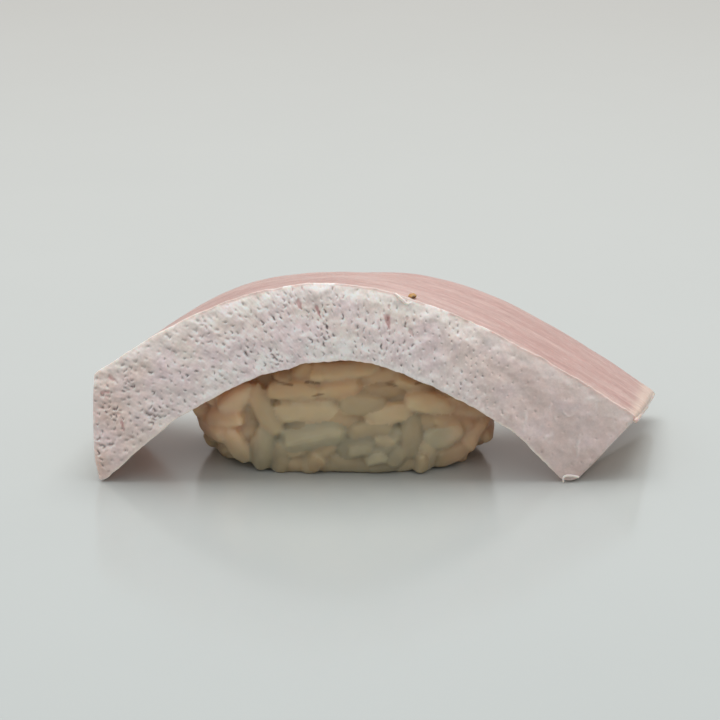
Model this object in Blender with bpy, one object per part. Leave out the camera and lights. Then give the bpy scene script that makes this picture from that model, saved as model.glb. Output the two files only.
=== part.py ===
"""Yellowtail nigiri: a thick wedge of fish bent over a small pressed ball of rice.

X runs along the slice, Y from the pale skin side to the thin back edge, +Z up.
Sizes are in millimetres and are turned into metres as the meshes are made.
"""

import math

import bmesh
import bpy
import numpy as np
from mathutils import Vector, noise
from mathutils.bvhtree import BVHTree

MM = 0.001

# The slice. Its four long edges are smooth curves through these stations, (x, z) each,
# from the left end to the right one. The skin side is the front face, between the
# first two edges. It is three times as thick as the back edge.
FRONT_LOW = ((-36.6, -0.9), (-27.0, 7.85), (-17.5, 13.85), (-9.4, 16.75), (-1.6, 17.75),
             (6.0, 15.75), (14.3, 11.65), (21.5, 6.85), (29.3, -1.0))
FRONT_HIGH = ((-36.9, 15.05), (-28.6, 20.55), (-18.6, 25.45), (-11.2, 27.55), (-3.6, 28.25),
              (6.0, 26.35), (17.6, 21.45), (29.3, 14.75), (38.5, 8.65))
BACK_HIGH = ((-34.8, 3.9), (-25.4, 15.35), (-17.0, 20.15), (-8.5, 21.95), (0.0, 22.2),
             (9.9, 21.6), (20.4, 18.15), (32.8, 11.05), (43.5, 3.75))
PRESS_HEIGHT = 0.6          # flesh lower than this spreads on the plate
SLICE_WIDTH = 27.0
FACE_SETBACK = 1.8          # how far the front face leans back from foot to top
BACK_SETBACK = 0.4          # and the back edge from top to foot
BACK_THICKNESS = 3.6        # of the back edge, at mid-length
BACK_END_THICKNESS = 1.9    # and at both ends of it
TOP_CROWN = 0.45            # bulge of the top face between its two long edges
CROWN_GROWTH = (0.02, 0.25) # and the shares of the length where it grows from the left end on
FACE_CROWN = 0.25           # bulge of the front face and the back edge
EDGE_ROUNDING = 0.4
END_DOME = 0.35             # how far a cut end swells past its own edge
END_RING = 0.8              # size of the ring inside a cut end, as a share of the end
END_RING_SWELL = 0.7        # and how much of the swelling it has

# Relief of the slice.
FIBRE_PITCH = 5.2           # muscle fibres run along the top face
FIBRE_DEPTH = 0.12
FIBRE_SWAY = 1.2            # how far the fibres wander sideways, in pitches
FIBRE_SWAY_SPEED = 2.4      # and how fast, along the slice
SKIN_BUMP = 0.15
SKIN_BUMP_SIZE = 4.0

# Steps along and around the slice.
LENGTH_STEPS = 42
FRONT_STEPS = 5
TOP_STEPS = 18
BACK_STEPS = 2
UNDER_STEPS = 5
CORNER_STEPS = 2
EDGE_SAMPLES = 60           # of the underside, where the rice asks for its height

# The ball of rice, a loaf with a flat foot. The slice sits on its top.
BALL_CENTRE = (-2.0, 13.9, 8.0)
BALL_HALF_SIZE = (21.7, 11.7, 10.6)
PLAN_POWER = 2.8            # 2 is an ellipse, more is boxier
END_POWER = 2.6             # roundness of the ends, seen from the front
SIDE_POWER = 5.0            # and of the long sides, seen from an end
CORE_INSET = 1.7            # the solid core lies this far inside the grains' outline
FOOT_INSET = 1.6            # and its flat foot this much further
FISH_GAP = 0.35             # between the rice and the slice
CORE_GAP = 0.3              # between the core and the top of the grains, below the slice
POLE_LIMIT = 0.99           # heights past this share of the ball count as this one
DEPTH_SAMPLES = 200         # places tried from the front to the middle for a grain of the front

# Grains of the front that show best: x, height, turn from level in degrees, length,
# and how far each stands proud of the rest.
SHOWN_GRAINS = (
    (-17.2, 10.6, 42, 6.4, 0.5),
    (-19.0, 7.2, 5, 6.6, 0.3),
    (-13.4, 9.2, -62, 7.9, 0.6),
    (-13.6, 3.5, 88, 6.8, 0.8),
    (-6.6, 5.7, 14, 9.2, 0.9),
    (-7.5, 9.1, 4, 9.0, 0.1),
    (-17.3, 3.5, -55, 6.2, 0.2),
    (-10.9, 2.3, 84, 4.8, 0.1),
    (-5.9, 2.5, 50, 6.2, 0.1),
    (-1.2, 1.6, -6, 6.6, 0.2),
    (-3.1, 12.5, 10, 6.6, 0.2),
    (-1.4, 15.3, 5, 8.4, 0.3),
    (-9.4, 12.2, 0, 7.0, 0.1),
    (0.4, 10.5, -3, 6.2, 0.5),
    (4.0, 8.8, 12, 6.8, 0.5),
    (1.4, 6.6, 5, 6.0, 0.1),
    (7.0, 5.3, 82, 6.8, 0.7),
    (3.6, 4.3, 50, 6.0, 0.4),
    (-0.3, 4.1, 27, 6.6, 0.6),
    (3.6, 1.6, 10, 6.6, 0.4),
    (9.2, 2.4, 80, 5.0, 0.6),
    (11.6, 5.1, 18, 6.0, 0.3),
    (12.8, 2.1, 14, 6.4, 0.2),
    (11.0, 7.6, 5, 6.2, 0.1),
    (10.0, 10.2, -12, 8.0, 0.2),
    (16.4, 4.7, 50, 6.6, 0.3),
)

# The other grains: an even layer below the ball's outline, and loose ones inside it.
GRAIN_LENGTH = 6.9
GRAIN_WIDTH = 3.15
GRAIN_FLATNESS = 0.84
GRAIN_SIZE_SPREAD = 0.13
OUTER_GRAINS = 98
INNER_GRAINS = 70
LOWEST_OUTER = 1.3          # height of the lowest middle of an outer grain
OUTER_TOP_SHARE = 0.9       # and of the highest, as a share of the ball's half height
INNER_SPREAD = 0.7          # how far out the inner grains start, as a share of the ball
OUTER_TURN = 45.0           # spread of an outer grain's turn from level, in degrees
TRIES_PER_GRAIN = 12        # of these places, the one furthest from the other grains is taken
OUTWARD_PRESS = 0.03        # how far a grain creeps outwards in one step of settling
LAP_PUSH = 0.25             # how much of a lap with another grain one step undoes
LEAST_DISTANCE = 0.05       # grains nearer than this are pushed as if this far apart
BOUND_PUSH = 0.6            # how much of a crossing of the ball, the slice or the plate one step undoes
TWIST_SHARE = 0.5           # how readily a grain turns when it is pushed off its middle
GRAIN_TAPER = 0.42          # how much thinner a grain is near its tips
GRAIN_SQUEEZE = 0.9         # the distance that pressed grains keep, as a share of their widths
SHOWN_SLIDE = 0.9           # how far a grain of the front may slide in or out
SETTLING_STEPS = 200
SURFACE_DEPTH = 2.5         # grains whose middles lie deeper than this are hidden
RICE_SEED = 11
FLOOR_GAP = 0.12            # the flat foot alone touches the plate
FOOT_STAGGER = 0.004        # each grain's foot is this much higher than the last one's
FOOT_STAGGER_LIMIT = 0.1    # up to this, so that few lie in one plane
LOWERING_STEP = 0.15        # a grain too near the slice goes down in steps of this
LOWERING_TRIES = 6

# The mesh of a grain: five sides, and rings at a share of the half length, with a share of the width.
GRAIN_SIDES = 5
GRAIN_RINGS = ((-0.76, 0.66), (0.0, 1.0), (0.76, 0.66))
CORE_RINGS = 10
CORE_COLUMNS = 28
CORE_TOP_OPENING = 0.4      # in rings: how far the top ring stays from the pole

FISH_COLOUR = (0.78, 0.60, 0.56, 1.0)
FISH_ROUGHNESS = 0.35
RICE_COLOUR = (0.72, 0.66, 0.52, 1.0)
RICE_ROUGHNESS = 0.4


def clear_scene():
    for obj in list(bpy.data.objects):
        bpy.data.objects.remove(obj)


def material(name, colour, roughness):
    made = bpy.data.materials.new(name)
    made.use_nodes = True
    shader = made.node_tree.nodes["Principled BSDF"]
    shader.inputs["Base Color"].default_value = colour
    shader.inputs["Roughness"].default_value = roughness
    shader.inputs["Metallic"].default_value = 0.0
    made.diffuse_color = colour
    return made


def curve_point(stations, share):
    """The point at a share of the way through the stations, on a Catmull-Rom curve."""
    last = len(stations) - 1
    place = min(max(share, 0.0), 1.0) * last
    at = min(int(place), last - 1)
    t = place - at
    before, start, end, after = (
        stations[min(max(i, 0), last)] for i in (at - 1, at, at + 1, at + 2)
    )

    def blend(a, b, c, d):
        return b + 0.5 * t * (c - a + t * (2 * a - 5 * b + 4 * c - d + t * (3 * (b - c) + d - a)))

    return tuple(blend(*parts) for parts in zip(before, start, end, after))


def section_corners(share):
    """The slice's corners at a share of its length: front low, front high, back high, back low."""
    low_x, low_z = curve_point(FRONT_LOW, share)
    high_x, high_z = curve_point(FRONT_HIGH, share)
    back_x, back_z = curve_point(BACK_HIGH, share)
    step = 0.01
    ahead = Vector(curve_point(BACK_HIGH, share + step))
    behind = Vector(curve_point(BACK_HIGH, share - step))
    run = (ahead - behind).normalized()
    thickness = BACK_END_THICKNESS + (BACK_THICKNESS - BACK_END_THICKNESS) * math.sin(math.pi * share)
    return (
        Vector((low_x, 0.0, low_z)),
        Vector((high_x, FACE_SETBACK, high_z)),
        Vector((back_x, SLICE_WIDTH, back_z)),
        Vector((back_x + run.y * thickness, SLICE_WIDTH - BACK_SETBACK, back_z - run.x * thickness)),
    )


def pressed(point):
    """The point, no lower than flesh lies when it spreads on the plate."""
    if point.z < PRESS_HEIGHT:
        point.z = PRESS_HEIGHT * math.exp(point.z / PRESS_HEIGHT - 1)
    return point


def section_loop(share):
    """Points round the slice at a share of its length, and each one's place across the top, or None."""
    corners = section_corners(share)
    start, end = CROWN_GROWTH
    grown = min(max((share - start) / (end - start), 0.0), 1.0)
    sides = (
        (FRONT_STEPS, FACE_CROWN),
        (TOP_STEPS, TOP_CROWN * grown),
        (BACK_STEPS, FACE_CROWN),
        (UNDER_STEPS, 0.0),
    )
    middle = sum(corners, Vector()) / 4
    points = []
    across = []
    for i, (steps, crown) in enumerate(sides):
        start, end, after = corners[i], corners[(i + 1) % 4], corners[(i + 2) % 4]
        along = end - start
        rounding = EDGE_ROUNDING / along.length
        outward = (start + end) / 2 - middle
        outward = (outward - outward.project(along)).normalized()
        for step in range(steps + 1):
            t = step / steps
            trimmed = rounding + t * (1 - 2 * rounding)
            points.append(start + along * trimmed + outward * crown * 4 * t * (1 - t))
            across.append(t if i == 1 else None)
        first = end - along.normalized() * EDGE_ROUNDING
        last = end + (after - end).normalized() * EDGE_ROUNDING
        for step in range(1, CORNER_STEPS):
            t = step / CORNER_STEPS
            points.append(first * (1 - t) ** 2 + end * 2 * t * (1 - t) + last * t**2)
            across.append(None)
    return [pressed(point) for point in points], across


def fibre_relief(share, across):
    """Height of the top face's fibre ridges, fading out at its four edges."""
    sway = FIBRE_SWAY * math.sin(FIBRE_SWAY_SPEED * share)
    ridge = math.sin(2 * math.pi * (across * SLICE_WIDTH / FIBRE_PITCH + sway))
    return FIBRE_DEPTH * ridge * math.sin(math.pi * across) * math.sqrt(math.sin(math.pi * share))


def add_ring(mesh, points):
    return [mesh.verts.new(Vector(point) * MM) for point in points]


def bridge(mesh, ring, following):
    for i in range(len(ring)):
        j = (i + 1) % len(ring)
        mesh.faces.new((ring[i], following[i], following[j], ring[j]))


def cap_end(mesh, ring, points, outward):
    """Closes an end with a smaller ring and a centre point, swollen a little outwards."""
    middle = sum(points, Vector()) / len(points)
    swell = outward * END_DOME
    inner = add_ring(mesh, [middle + (p - middle) * END_RING + swell * END_RING_SWELL for p in points])
    centre = mesh.verts.new((middle + swell) * MM)
    bridge(mesh, ring, inner)
    for i in range(len(inner)):
        mesh.faces.new((centre, inner[i], inner[(i + 1) % len(inner)]))


def make_slice():
    """The fish: sections lofted from end to end, with low relief on the skin side and the top."""
    mesh = bmesh.new()
    shares = [step / LENGTH_STEPS for step in range(LENGTH_STEPS + 1)]
    loops = [section_loop(share) for share in shares]
    rings = [add_ring(mesh, points) for points, _ in loops]
    for ring, following in zip(rings, rings[1:]):
        bridge(mesh, ring, following)
    middles = [sum(points, Vector()) / len(points) for points, _ in loops]
    cap_end(mesh, rings[0], loops[0][0], (middles[0] - middles[1]).normalized())
    cap_end(mesh, rings[-1], loops[-1][0], (middles[-1] - middles[-2]).normalized())
    bmesh.ops.recalc_face_normals(mesh, faces=mesh.faces)
    mesh.normal_update()
    moves = []
    for share, ring, (_, across) in zip(shares, rings, loops):
        for vert, place in zip(ring, across):
            relief = SKIN_BUMP * noise.noise(vert.co / (SKIN_BUMP_SIZE * MM))
            if place is not None:
                relief += fibre_relief(share, place)
            moves.append((vert, vert.normal * relief * MM))
    for vert, move in moves:
        vert.co += move
    return finish_object("fish", mesh, material("fish", FISH_COLOUR, FISH_ROUGHNESS))


def finish_object(name, mesh, surface):
    bmesh.ops.triangulate(mesh, faces=mesh.faces)
    data = bpy.data.meshes.new(name)
    mesh.to_mesh(data)
    mesh.free()
    data.materials.append(surface)
    data.shade_smooth()
    obj = bpy.data.objects.new(name, data)
    bpy.context.scene.collection.objects.link(obj)
    return obj


def underside_edges():
    """The slice's two lower long edges as rows of (x, z), front and back."""
    corners = [section_corners(share) for share in np.linspace(0, 1, EDGE_SAMPLES)]
    front = np.array([(c[0].x, c[0].z) for c in corners])
    back = np.array([(c[3].x, c[3].z) for c in corners])
    return front, back


def roof_height(edges, x, y):
    """Height of the slice's underside, ruled straight from its front edge to its back one."""
    front, back = edges
    front_z = np.interp(x, front[:, 0], front[:, 1])
    back_z = np.interp(x, back[:, 0], back[:, 1])
    return front_z + (back_z - front_z) * np.clip(y / SLICE_WIDTH, 0, 1)


def ball_sizes(height, inset=0.0):
    """Half length and half depth of the ball at a height, drawn in by inset."""
    half_x, half_y, half_z = (size - inset for size in BALL_HALF_SIZE)
    lift = np.clip(np.abs(height - BALL_CENTRE[2]) / half_z, 0, POLE_LIMIT)
    half_x = half_x * (1 - lift**END_POWER) ** (1 / END_POWER)
    half_y = half_y * (1 - lift**SIDE_POWER) ** (1 / SIDE_POWER)
    return half_x, half_y


def ball_level(points):
    """1 on the ball's outline, less inside it."""
    half_x, half_y = ball_sizes(points[..., 2])
    across = np.abs((points[..., 0] - BALL_CENTRE[0]) / half_x) ** PLAN_POWER
    deep = np.abs((points[..., 1] - BALL_CENTRE[1]) / half_y) ** PLAN_POWER
    return (across + deep + 1e-9) ** (1 / PLAN_POWER)


def ball_distance(points):
    """Distance outside the ball's outline, less than 0 inside it, and the outward direction."""
    level = ball_level(points)
    step = 0.05
    least_slope = 0.02
    slope = np.stack([(ball_level(points + step * axis) - level) / step for axis in np.eye(3)], -1)
    steepness = np.maximum(np.linalg.norm(slope, axis=-1), least_slope)
    return (level - 1) / steepness, slope / steepness[..., None]


def ball_point(angle, height, inset):
    """A point of the ball's outline, drawn in by inset, at an angle in plan."""
    half_x, half_y = ball_sizes(height, inset)
    cos, sin = math.cos(angle), math.sin(angle)
    size = (abs(cos) ** PLAN_POWER + abs(sin) ** PLAN_POWER) ** (-1 / PLAN_POWER)
    return np.array((BALL_CENTRE[0] + half_x * size * cos, BALL_CENTRE[1] + half_y * size * sin, height))


def unit(vectors):
    return vectors / np.maximum(np.linalg.norm(vectors, axis=-1, keepdims=True), 1e-9)


def axis_on_ball(middle, turn):
    """The direction of a grain that lies along the ball's outline, turned from level."""
    outward = ball_distance(middle)[1]
    level = unit(np.cross((0, 0, 1), outward))
    return level * math.cos(turn) + np.cross(outward, level) * math.sin(turn)


def shown_grains():
    """Middles, axes and lengths of the front's grains, each just inside the ball's outline."""
    rows = []
    for x, height, turn, length, proud in SHOWN_GRAINS:
        column = np.linspace((x, 0.0, height), (x, BALL_CENTRE[1], height), DEPTH_SAMPLES)
        inside = ball_distance(column)[0] < proud - 0.5 * GRAIN_WIDTH
        middle = column[np.argmax(inside)]
        rows.append((middle, axis_on_ball(middle, math.radians(turn)), length))
    return rows


def outer_grains(draw, placed):
    """The rest of the outermost layer, evenly spread round the ball's sides."""
    rows = []
    places = [middle for middle, _, _ in placed]
    top = BALL_CENTRE[2] + OUTER_TOP_SHARE * BALL_HALF_SIZE[2]
    for _ in range(OUTER_GRAINS):
        tries = [
            ball_point(draw.uniform(-math.pi, math.pi), draw.uniform(LOWEST_OUTER, top), 0.5 * GRAIN_WIDTH)
            for _ in range(TRIES_PER_GRAIN)
        ]
        room = [np.linalg.norm(np.array(places) - place, axis=1).min() for place in tries]
        middle = tries[int(np.argmax(room))]
        places.append(middle)
        turn = math.radians(draw.normal(0, OUTER_TURN))
        rows.append((middle, axis_on_ball(middle, turn), GRAIN_LENGTH * size_factor(draw)))
    return rows


def inner_grains(draw):
    """Grains anywhere in the ball, at any turn."""
    spread = draw.uniform(-1, 1, (INNER_GRAINS, 3)) * BALL_HALF_SIZE * INNER_SPREAD + BALL_CENTRE
    return [(middle, unit(draw.normal(size=3)), GRAIN_LENGTH * size_factor(draw)) for middle in spread]


def size_factor(draw):
    return 1 + GRAIN_SIZE_SPREAD * draw.uniform(-1, 1)


def nearest_on_axes(middles, axes, halves, first, second):
    """For pairs of grains, how far along each axis the two come nearest."""
    gap = middles[second] - middles[first]
    cross = np.sum(axes[first] * axes[second], -1)
    on_first = np.sum(axes[first] * gap, -1)
    on_second = np.sum(axes[second] * gap, -1)
    along_first = (on_first - cross * on_second) / np.maximum(1 - cross**2, 1e-3)
    along_first = np.clip(along_first, -halves[first], halves[first])
    along_second = np.clip(cross * along_first - on_second, -halves[second], halves[second])
    along_first = np.clip(cross * along_second + on_first, -halves[first], halves[first])
    return along_first, along_second


def settle(middles, axes, lengths, widths):
    """Pushes grains apart, inside the ball, under the slice and off the plate, until they fit."""
    halves = (lengths - widths) / 2
    everyone = np.arange(len(middles))
    first, second = np.triu_indices(len(middles), 1)
    held = (everyone < len(SHOWN_GRAINS))[:, None]
    outward = ball_distance(middles)[1]
    start = middles.copy()
    edges = underside_edges()
    for _ in range(SETTLING_STEPS):
        move = OUTWARD_PRESS * ball_distance(middles)[1]
        twist = np.zeros_like(middles)

        def push(which, along, by):
            np.add.at(move, which, by)
            np.add.at(twist, which, by * (along / halves[which] ** 2)[:, None])

        at_first, at_second = nearest_on_axes(middles, axes, halves, first, second)
        near_first = middles[first] + axes[first] * at_first[:, None]
        near_second = middles[second] + axes[second] * at_second[:, None]
        gap = near_second - near_first
        distance = np.linalg.norm(gap, axis=-1)
        thick_first = widths[first] * (1 - GRAIN_TAPER * (at_first / halves[first]) ** 2)
        thick_second = widths[second] * (1 - GRAIN_TAPER * (at_second / halves[second]) ** 2)
        lap = GRAIN_SQUEEZE * (thick_first + thick_second) / 2 - distance
        close = lap > 0
        by = gap[close] * (LAP_PUSH * lap[close] / np.maximum(distance[close], LEAST_DISTANCE))[:, None]
        push(first[close], at_first[close], -by)
        push(second[close], at_second[close], by)
        for end in (-1.0, 0.0, 1.0):
            along = end * halves
            thick = widths / 2 * (1 - GRAIN_TAPER * end**2)
            place = middles + axes * along[:, None]
            outside, direction = ball_distance(place)
            push(everyone, along, -direction * np.maximum(outside + thick, 0)[:, None] * BOUND_PUSH)
            roof = roof_height(edges, place[:, 0], place[:, 1])
            high = np.maximum(place[:, 2] + thick + FISH_GAP - roof, 0)
            low = np.maximum(thick + FLOOR_GAP - place[:, 2], 0)
            push(everyone, along, np.outer(low - high, (0, 0, BOUND_PUSH)))
        slide = np.sum((middles + move - start) * outward, -1)
        slide = np.clip(slide, -SHOWN_SLIDE, SHOWN_SLIDE)
        middles = np.where(held, start + outward * slide[:, None], middles + move)
        axes = np.where(held, axes, unit(axes + TWIST_SHARE * twist))
    return middles, axes


def pack_grains():
    """Every grain of the ball: middles, axes, lengths and widths, those of the front first."""
    draw = np.random.default_rng(RICE_SEED)
    rows = shown_grains()
    rows += outer_grains(draw, rows)
    rows += inner_grains(draw)
    middles, axes, lengths = (np.array(column) for column in zip(*rows))
    widths = np.array([GRAIN_WIDTH * size_factor(draw) for _ in rows])
    middles, axes = settle(middles, axes, lengths, widths)
    return middles, axes, lengths, widths


def make_core():
    """The solid inside of the rice: the ball drawn in a little, and cut off below the slice."""
    top = BALL_CENTRE[2] + BALL_HALF_SIZE[2] - CORE_INSET
    edges = underside_edges()
    mesh = bmesh.new()
    loops = []
    for i in range(CORE_RINGS + 1):
        height = top * math.sin(0.5 * math.pi * i / (CORE_RINGS + CORE_TOP_OPENING))
        inset = CORE_INSET + (i == 0) * FOOT_INSET
        loop = []
        for j in range(CORE_COLUMNS):
            x, y, _ = ball_point(2 * math.pi * j / CORE_COLUMNS, height, inset)
            roof = roof_height(edges, x, y) - FISH_GAP - CORE_GAP
            loop.append((x, y, min(height, roof)))
        loops.append(add_ring(mesh, loop))
    for loop, following in zip(loops, loops[1:]):
        bridge(mesh, following, loop)
    mesh.faces.new(loops[0])
    centre = mesh.verts.new(sum((vert.co for vert in loops[-1]), Vector()) / CORE_COLUMNS)
    for j in range(CORE_COLUMNS):
        mesh.faces.new((centre, loops[-1][j], loops[-1][(j + 1) % CORE_COLUMNS]))
    bmesh.ops.recalc_face_normals(mesh, faces=mesh.faces)
    return finish_object("rice", mesh, material("rice", RICE_COLOUR, RICE_ROUGHNESS))


def grain_points(middle, axis, length, width):
    """The corners of one grain: a tip, rings of corners and the other tip."""
    outward = Vector(ball_distance(np.array(middle))[1])
    axis = Vector(axis)
    side = outward.cross(axis).normalized()
    up = axis.cross(side)
    points = [middle - axis * length / 2]
    for ring, (far, wide) in enumerate(GRAIN_RINGS):
        for i in range(GRAIN_SIDES):
            turn = 2 * math.pi * (i + 0.5 * (ring % 2)) / GRAIN_SIDES
            reach = side * math.cos(turn) + up * math.sin(turn) * GRAIN_FLATNESS
            points.append(middle + axis * far * length / 2 + reach * wide * width / 2)
    points.append(middle + axis * length / 2)
    return points


def grain_object(name, points, collection):
    mesh = bmesh.new()
    verts = add_ring(mesh, points)
    rings = [verts[1 + i * GRAIN_SIDES : 1 + (i + 1) * GRAIN_SIDES] for i in range(len(GRAIN_RINGS))]
    for i in range(GRAIN_SIDES):
        j = (i + 1) % GRAIN_SIDES
        mesh.faces.new((verts[0], rings[0][i], rings[0][j]))
        mesh.faces.new((verts[-1], rings[-1][i], rings[-1][j]))
    for ring, (lower, upper) in enumerate(zip(rings, rings[1:])):
        # Every second ring is turned by half a side, so the triangles lean the other way.
        for i in range(GRAIN_SIDES):
            j = (i + 1) % GRAIN_SIDES
            if ring % 2 == 0:
                mesh.faces.new((lower[i], lower[j], upper[i]))
                mesh.faces.new((lower[j], upper[j], upper[i]))
            else:
                mesh.faces.new((lower[i], upper[j], upper[i]))
                mesh.faces.new((lower[i], lower[j], upper[j]))
    bmesh.ops.recalc_face_normals(mesh, faces=mesh.faces)
    data = bpy.data.meshes.new(name)
    mesh.to_mesh(data)
    mesh.free()
    collection.objects.link(bpy.data.objects.new(name, data))


def clear_of_slice(tree, points):
    """Whether every corner of a grain lies outside the slice, with a gap to it."""
    for point in points:
        found, normal, _, distance = tree.find_nearest(point * MM)
        if (point * MM - found).dot(normal) < 0 or distance < FISH_GAP * MM:
            return False
    return True


def make_grains(tree, collection):
    """The grains that show, each pushed down a little where the slice needs room."""
    middles, axes, lengths, widths = pack_grains()
    depths = -ball_distance(middles)[0]
    for number, depth in enumerate(depths):
        if depth > SURFACE_DEPTH:
            continue
        middle = Vector(middles[number])
        foot = FLOOR_GAP + FOOT_STAGGER * number % FOOT_STAGGER_LIMIT
        for _ in range(LOWERING_TRIES):
            points = grain_points(middle, axes[number], lengths[number], widths[number])
            lift = foot - min(point.z for point in points)
            points = [point + Vector((0, 0, max(0, lift))) for point in points]
            if clear_of_slice(tree, points):
                grain_object(f"grain_{number}", points, collection)
                break
            middle.z -= LOWERING_STEP


def fuse_grains(rice, collection):
    """Joins the grains and the core into one solid."""
    join = rice.modifiers.new("join", "BOOLEAN")
    join.operation = "UNION"
    join.operand_type = "COLLECTION"
    join.collection = collection
    join.solver = "EXACT"
    graph = bpy.context.evaluated_depsgraph_get()
    joined = bpy.data.meshes.new_from_object(rice.evaluated_get(graph))
    rice.modifiers.clear()
    rice.data = joined
    for grain in list(collection.objects):
        bpy.data.objects.remove(grain)
    bpy.data.collections.remove(collection)


def keep_outer_shell(obj):
    """Drops loose scraps, and fills the hollows that the grains seal between them."""
    mesh = bmesh.new()
    mesh.from_mesh(obj.data)
    waiting = set(mesh.faces)
    shells = []
    while waiting:
        border = [waiting.pop()]
        shell = list(border)
        while border:
            for edge in border.pop().edges:
                for other in edge.link_faces:
                    if other in waiting:
                        waiting.discard(other)
                        border.append(other)
                        shell.append(other)
        shells.append(shell)
    shells.sort(key=len)
    scraps = [face for shell in shells[:-1] for face in shell]
    bmesh.ops.delete(mesh, geom=scraps, context="FACES")
    mesh.to_mesh(obj.data)
    mesh.free()


def make_rice(fish):
    tree = BVHTree.FromPolygons(
        [vert.co for vert in fish.data.vertices], [tuple(face.vertices) for face in fish.data.polygons]
    )
    rice = make_core()
    grains = bpy.data.collections.new("grains")
    bpy.context.scene.collection.children.link(grains)
    make_grains(tree, grains)
    fuse_grains(rice, grains)
    keep_outer_shell(rice)
    return rice


def stand_on_origin(objects):
    """Moves the meshes so that the origin is on the plate, below the middle of the whole."""
    corners = [vert.co for obj in objects for vert in obj.data.vertices]
    low = Vector([min(corner[i] for corner in corners) for i in range(3)])
    high = Vector([max(corner[i] for corner in corners) for i in range(3)])
    shift = Vector(((low.x + high.x) / 2, (low.y + high.y) / 2, low.z))
    for obj in objects:
        for vert in obj.data.vertices:
            vert.co -= shift
        obj.data.update()
    return shift


def main():
    clear_scene()
    fish = make_slice()
    rice = make_rice(fish)
    return stand_on_origin([fish, rice])


main()
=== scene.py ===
"""The looks of the yellowtail nigiri: moist raw fish with a pored skin side, over cooked rice grains.

Sizes are in millimetres, in the frame of the part's own source, and are moved by ORIGIN
and turned into metres as the meshes are made. X runs along the slice, Y from the skin side
to the thin back edge, +Z up.
"""

import math

import bmesh
import bpy
import numpy as np
from mathutils import Euler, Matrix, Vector, noise


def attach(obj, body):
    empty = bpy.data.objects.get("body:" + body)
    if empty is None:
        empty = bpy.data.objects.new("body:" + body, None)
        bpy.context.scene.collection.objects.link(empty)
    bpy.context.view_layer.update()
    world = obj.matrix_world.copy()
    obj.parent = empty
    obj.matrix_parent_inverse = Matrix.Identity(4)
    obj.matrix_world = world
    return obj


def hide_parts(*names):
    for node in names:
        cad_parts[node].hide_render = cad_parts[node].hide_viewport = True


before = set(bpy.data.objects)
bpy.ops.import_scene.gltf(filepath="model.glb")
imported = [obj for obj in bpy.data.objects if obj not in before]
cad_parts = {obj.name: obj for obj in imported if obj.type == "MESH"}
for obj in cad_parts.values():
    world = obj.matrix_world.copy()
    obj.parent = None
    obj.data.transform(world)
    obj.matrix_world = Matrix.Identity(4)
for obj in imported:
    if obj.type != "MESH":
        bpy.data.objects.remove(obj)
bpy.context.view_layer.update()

MM = 0.001
ORIGIN = np.array((3.2597, 13.5519, 0.0))
NOISE_TURN = (0.5, 0.8, 0.3)        # keeps the grid that noise is made on off the axes
NOISE_TILT = np.array(Euler(NOISE_TURN).to_matrix())

# The slice, as in the part: four long edges as (x, z) stations.
FRONT_LOW = ((-36.6, -0.9), (-27.0, 7.85), (-17.5, 13.85), (-9.4, 16.75), (-1.6, 17.75),
             (6.0, 15.75), (14.3, 11.65), (21.5, 6.85), (29.3, -1.0))
FRONT_HIGH = ((-36.9, 15.05), (-28.6, 20.55), (-18.6, 25.45), (-11.2, 27.55), (-3.6, 28.25),
              (6.0, 26.35), (17.6, 21.45), (29.3, 14.75), (38.5, 8.65))
BACK_HIGH = ((-34.8, 3.9), (-25.4, 15.35), (-17.0, 20.15), (-8.5, 21.95), (0.0, 22.2),
             (9.9, 21.6), (20.4, 18.15), (32.8, 11.05), (43.5, 3.75))
PRESS_HEIGHT = 0.6
SLICE_WIDTH = 27.0
FACE_SETBACK = 1.8
BACK_SETBACK = 0.4
BACK_THICKNESS = 3.6
BACK_END_THICKNESS = 1.9
TOP_CROWN = 0.45
CROWN_GROWTH = (0.02, 0.25)         # shares of the length where the bulge grows from the left end
FACE_CROWN = 0.25
EDGE_ROUNDING = 0.18
WAVE_REACH = 0.9                  # how far the waves of an edge reach into its two sides
UP = np.array((0.0, 0.0, 1.0))
BACKWARDS = np.array((0.0, 1.0, 0.0))
EDGE_ROLL = 0.5                   # how far the skin side leans back at its upper edge
ROLL_START = 0.68                 # share of its height where that begins
ROLL_REACH = 1.6                  # how far onto the top it is felt
END_RELIEF = 0.12
EDGE_SAMPLES = 60                 # of an edge, where the rice asks for its height
FLESH_SEED = 7

# The fine mesh of the slice.
LENGTH_STEPS = 590
SIDE_STEPS = (96, 32, 5, 12)      # front, top, back edge, underside
SIDE_CROWNS = (FACE_CROWN, TOP_CROWN, FACE_CROWN, 0.0)
CORNER_STEPS = 3
CUT_ROUNDING = 0.8                # radius of the edges of the cut ends
CORNER_EASE = 1.2                 # how far round a corner the rounding takes to turn
RIM_EASE = 0.5                    # how far a cut end's corners soften at its rim
MIDDLE_EASE = 4.0                 # and how much more in its middle
TIP_LIFT = 2.1                    # how far the left tip's lower corner is lifted, which rounds it off
TIP_RUN = 1.2                     # and over what run
END_RINGS = (0.95, 0.88, 0.8, 0.7, 0.6, 0.5, 0.4, 0.3, 0.2, 0.1)

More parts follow.
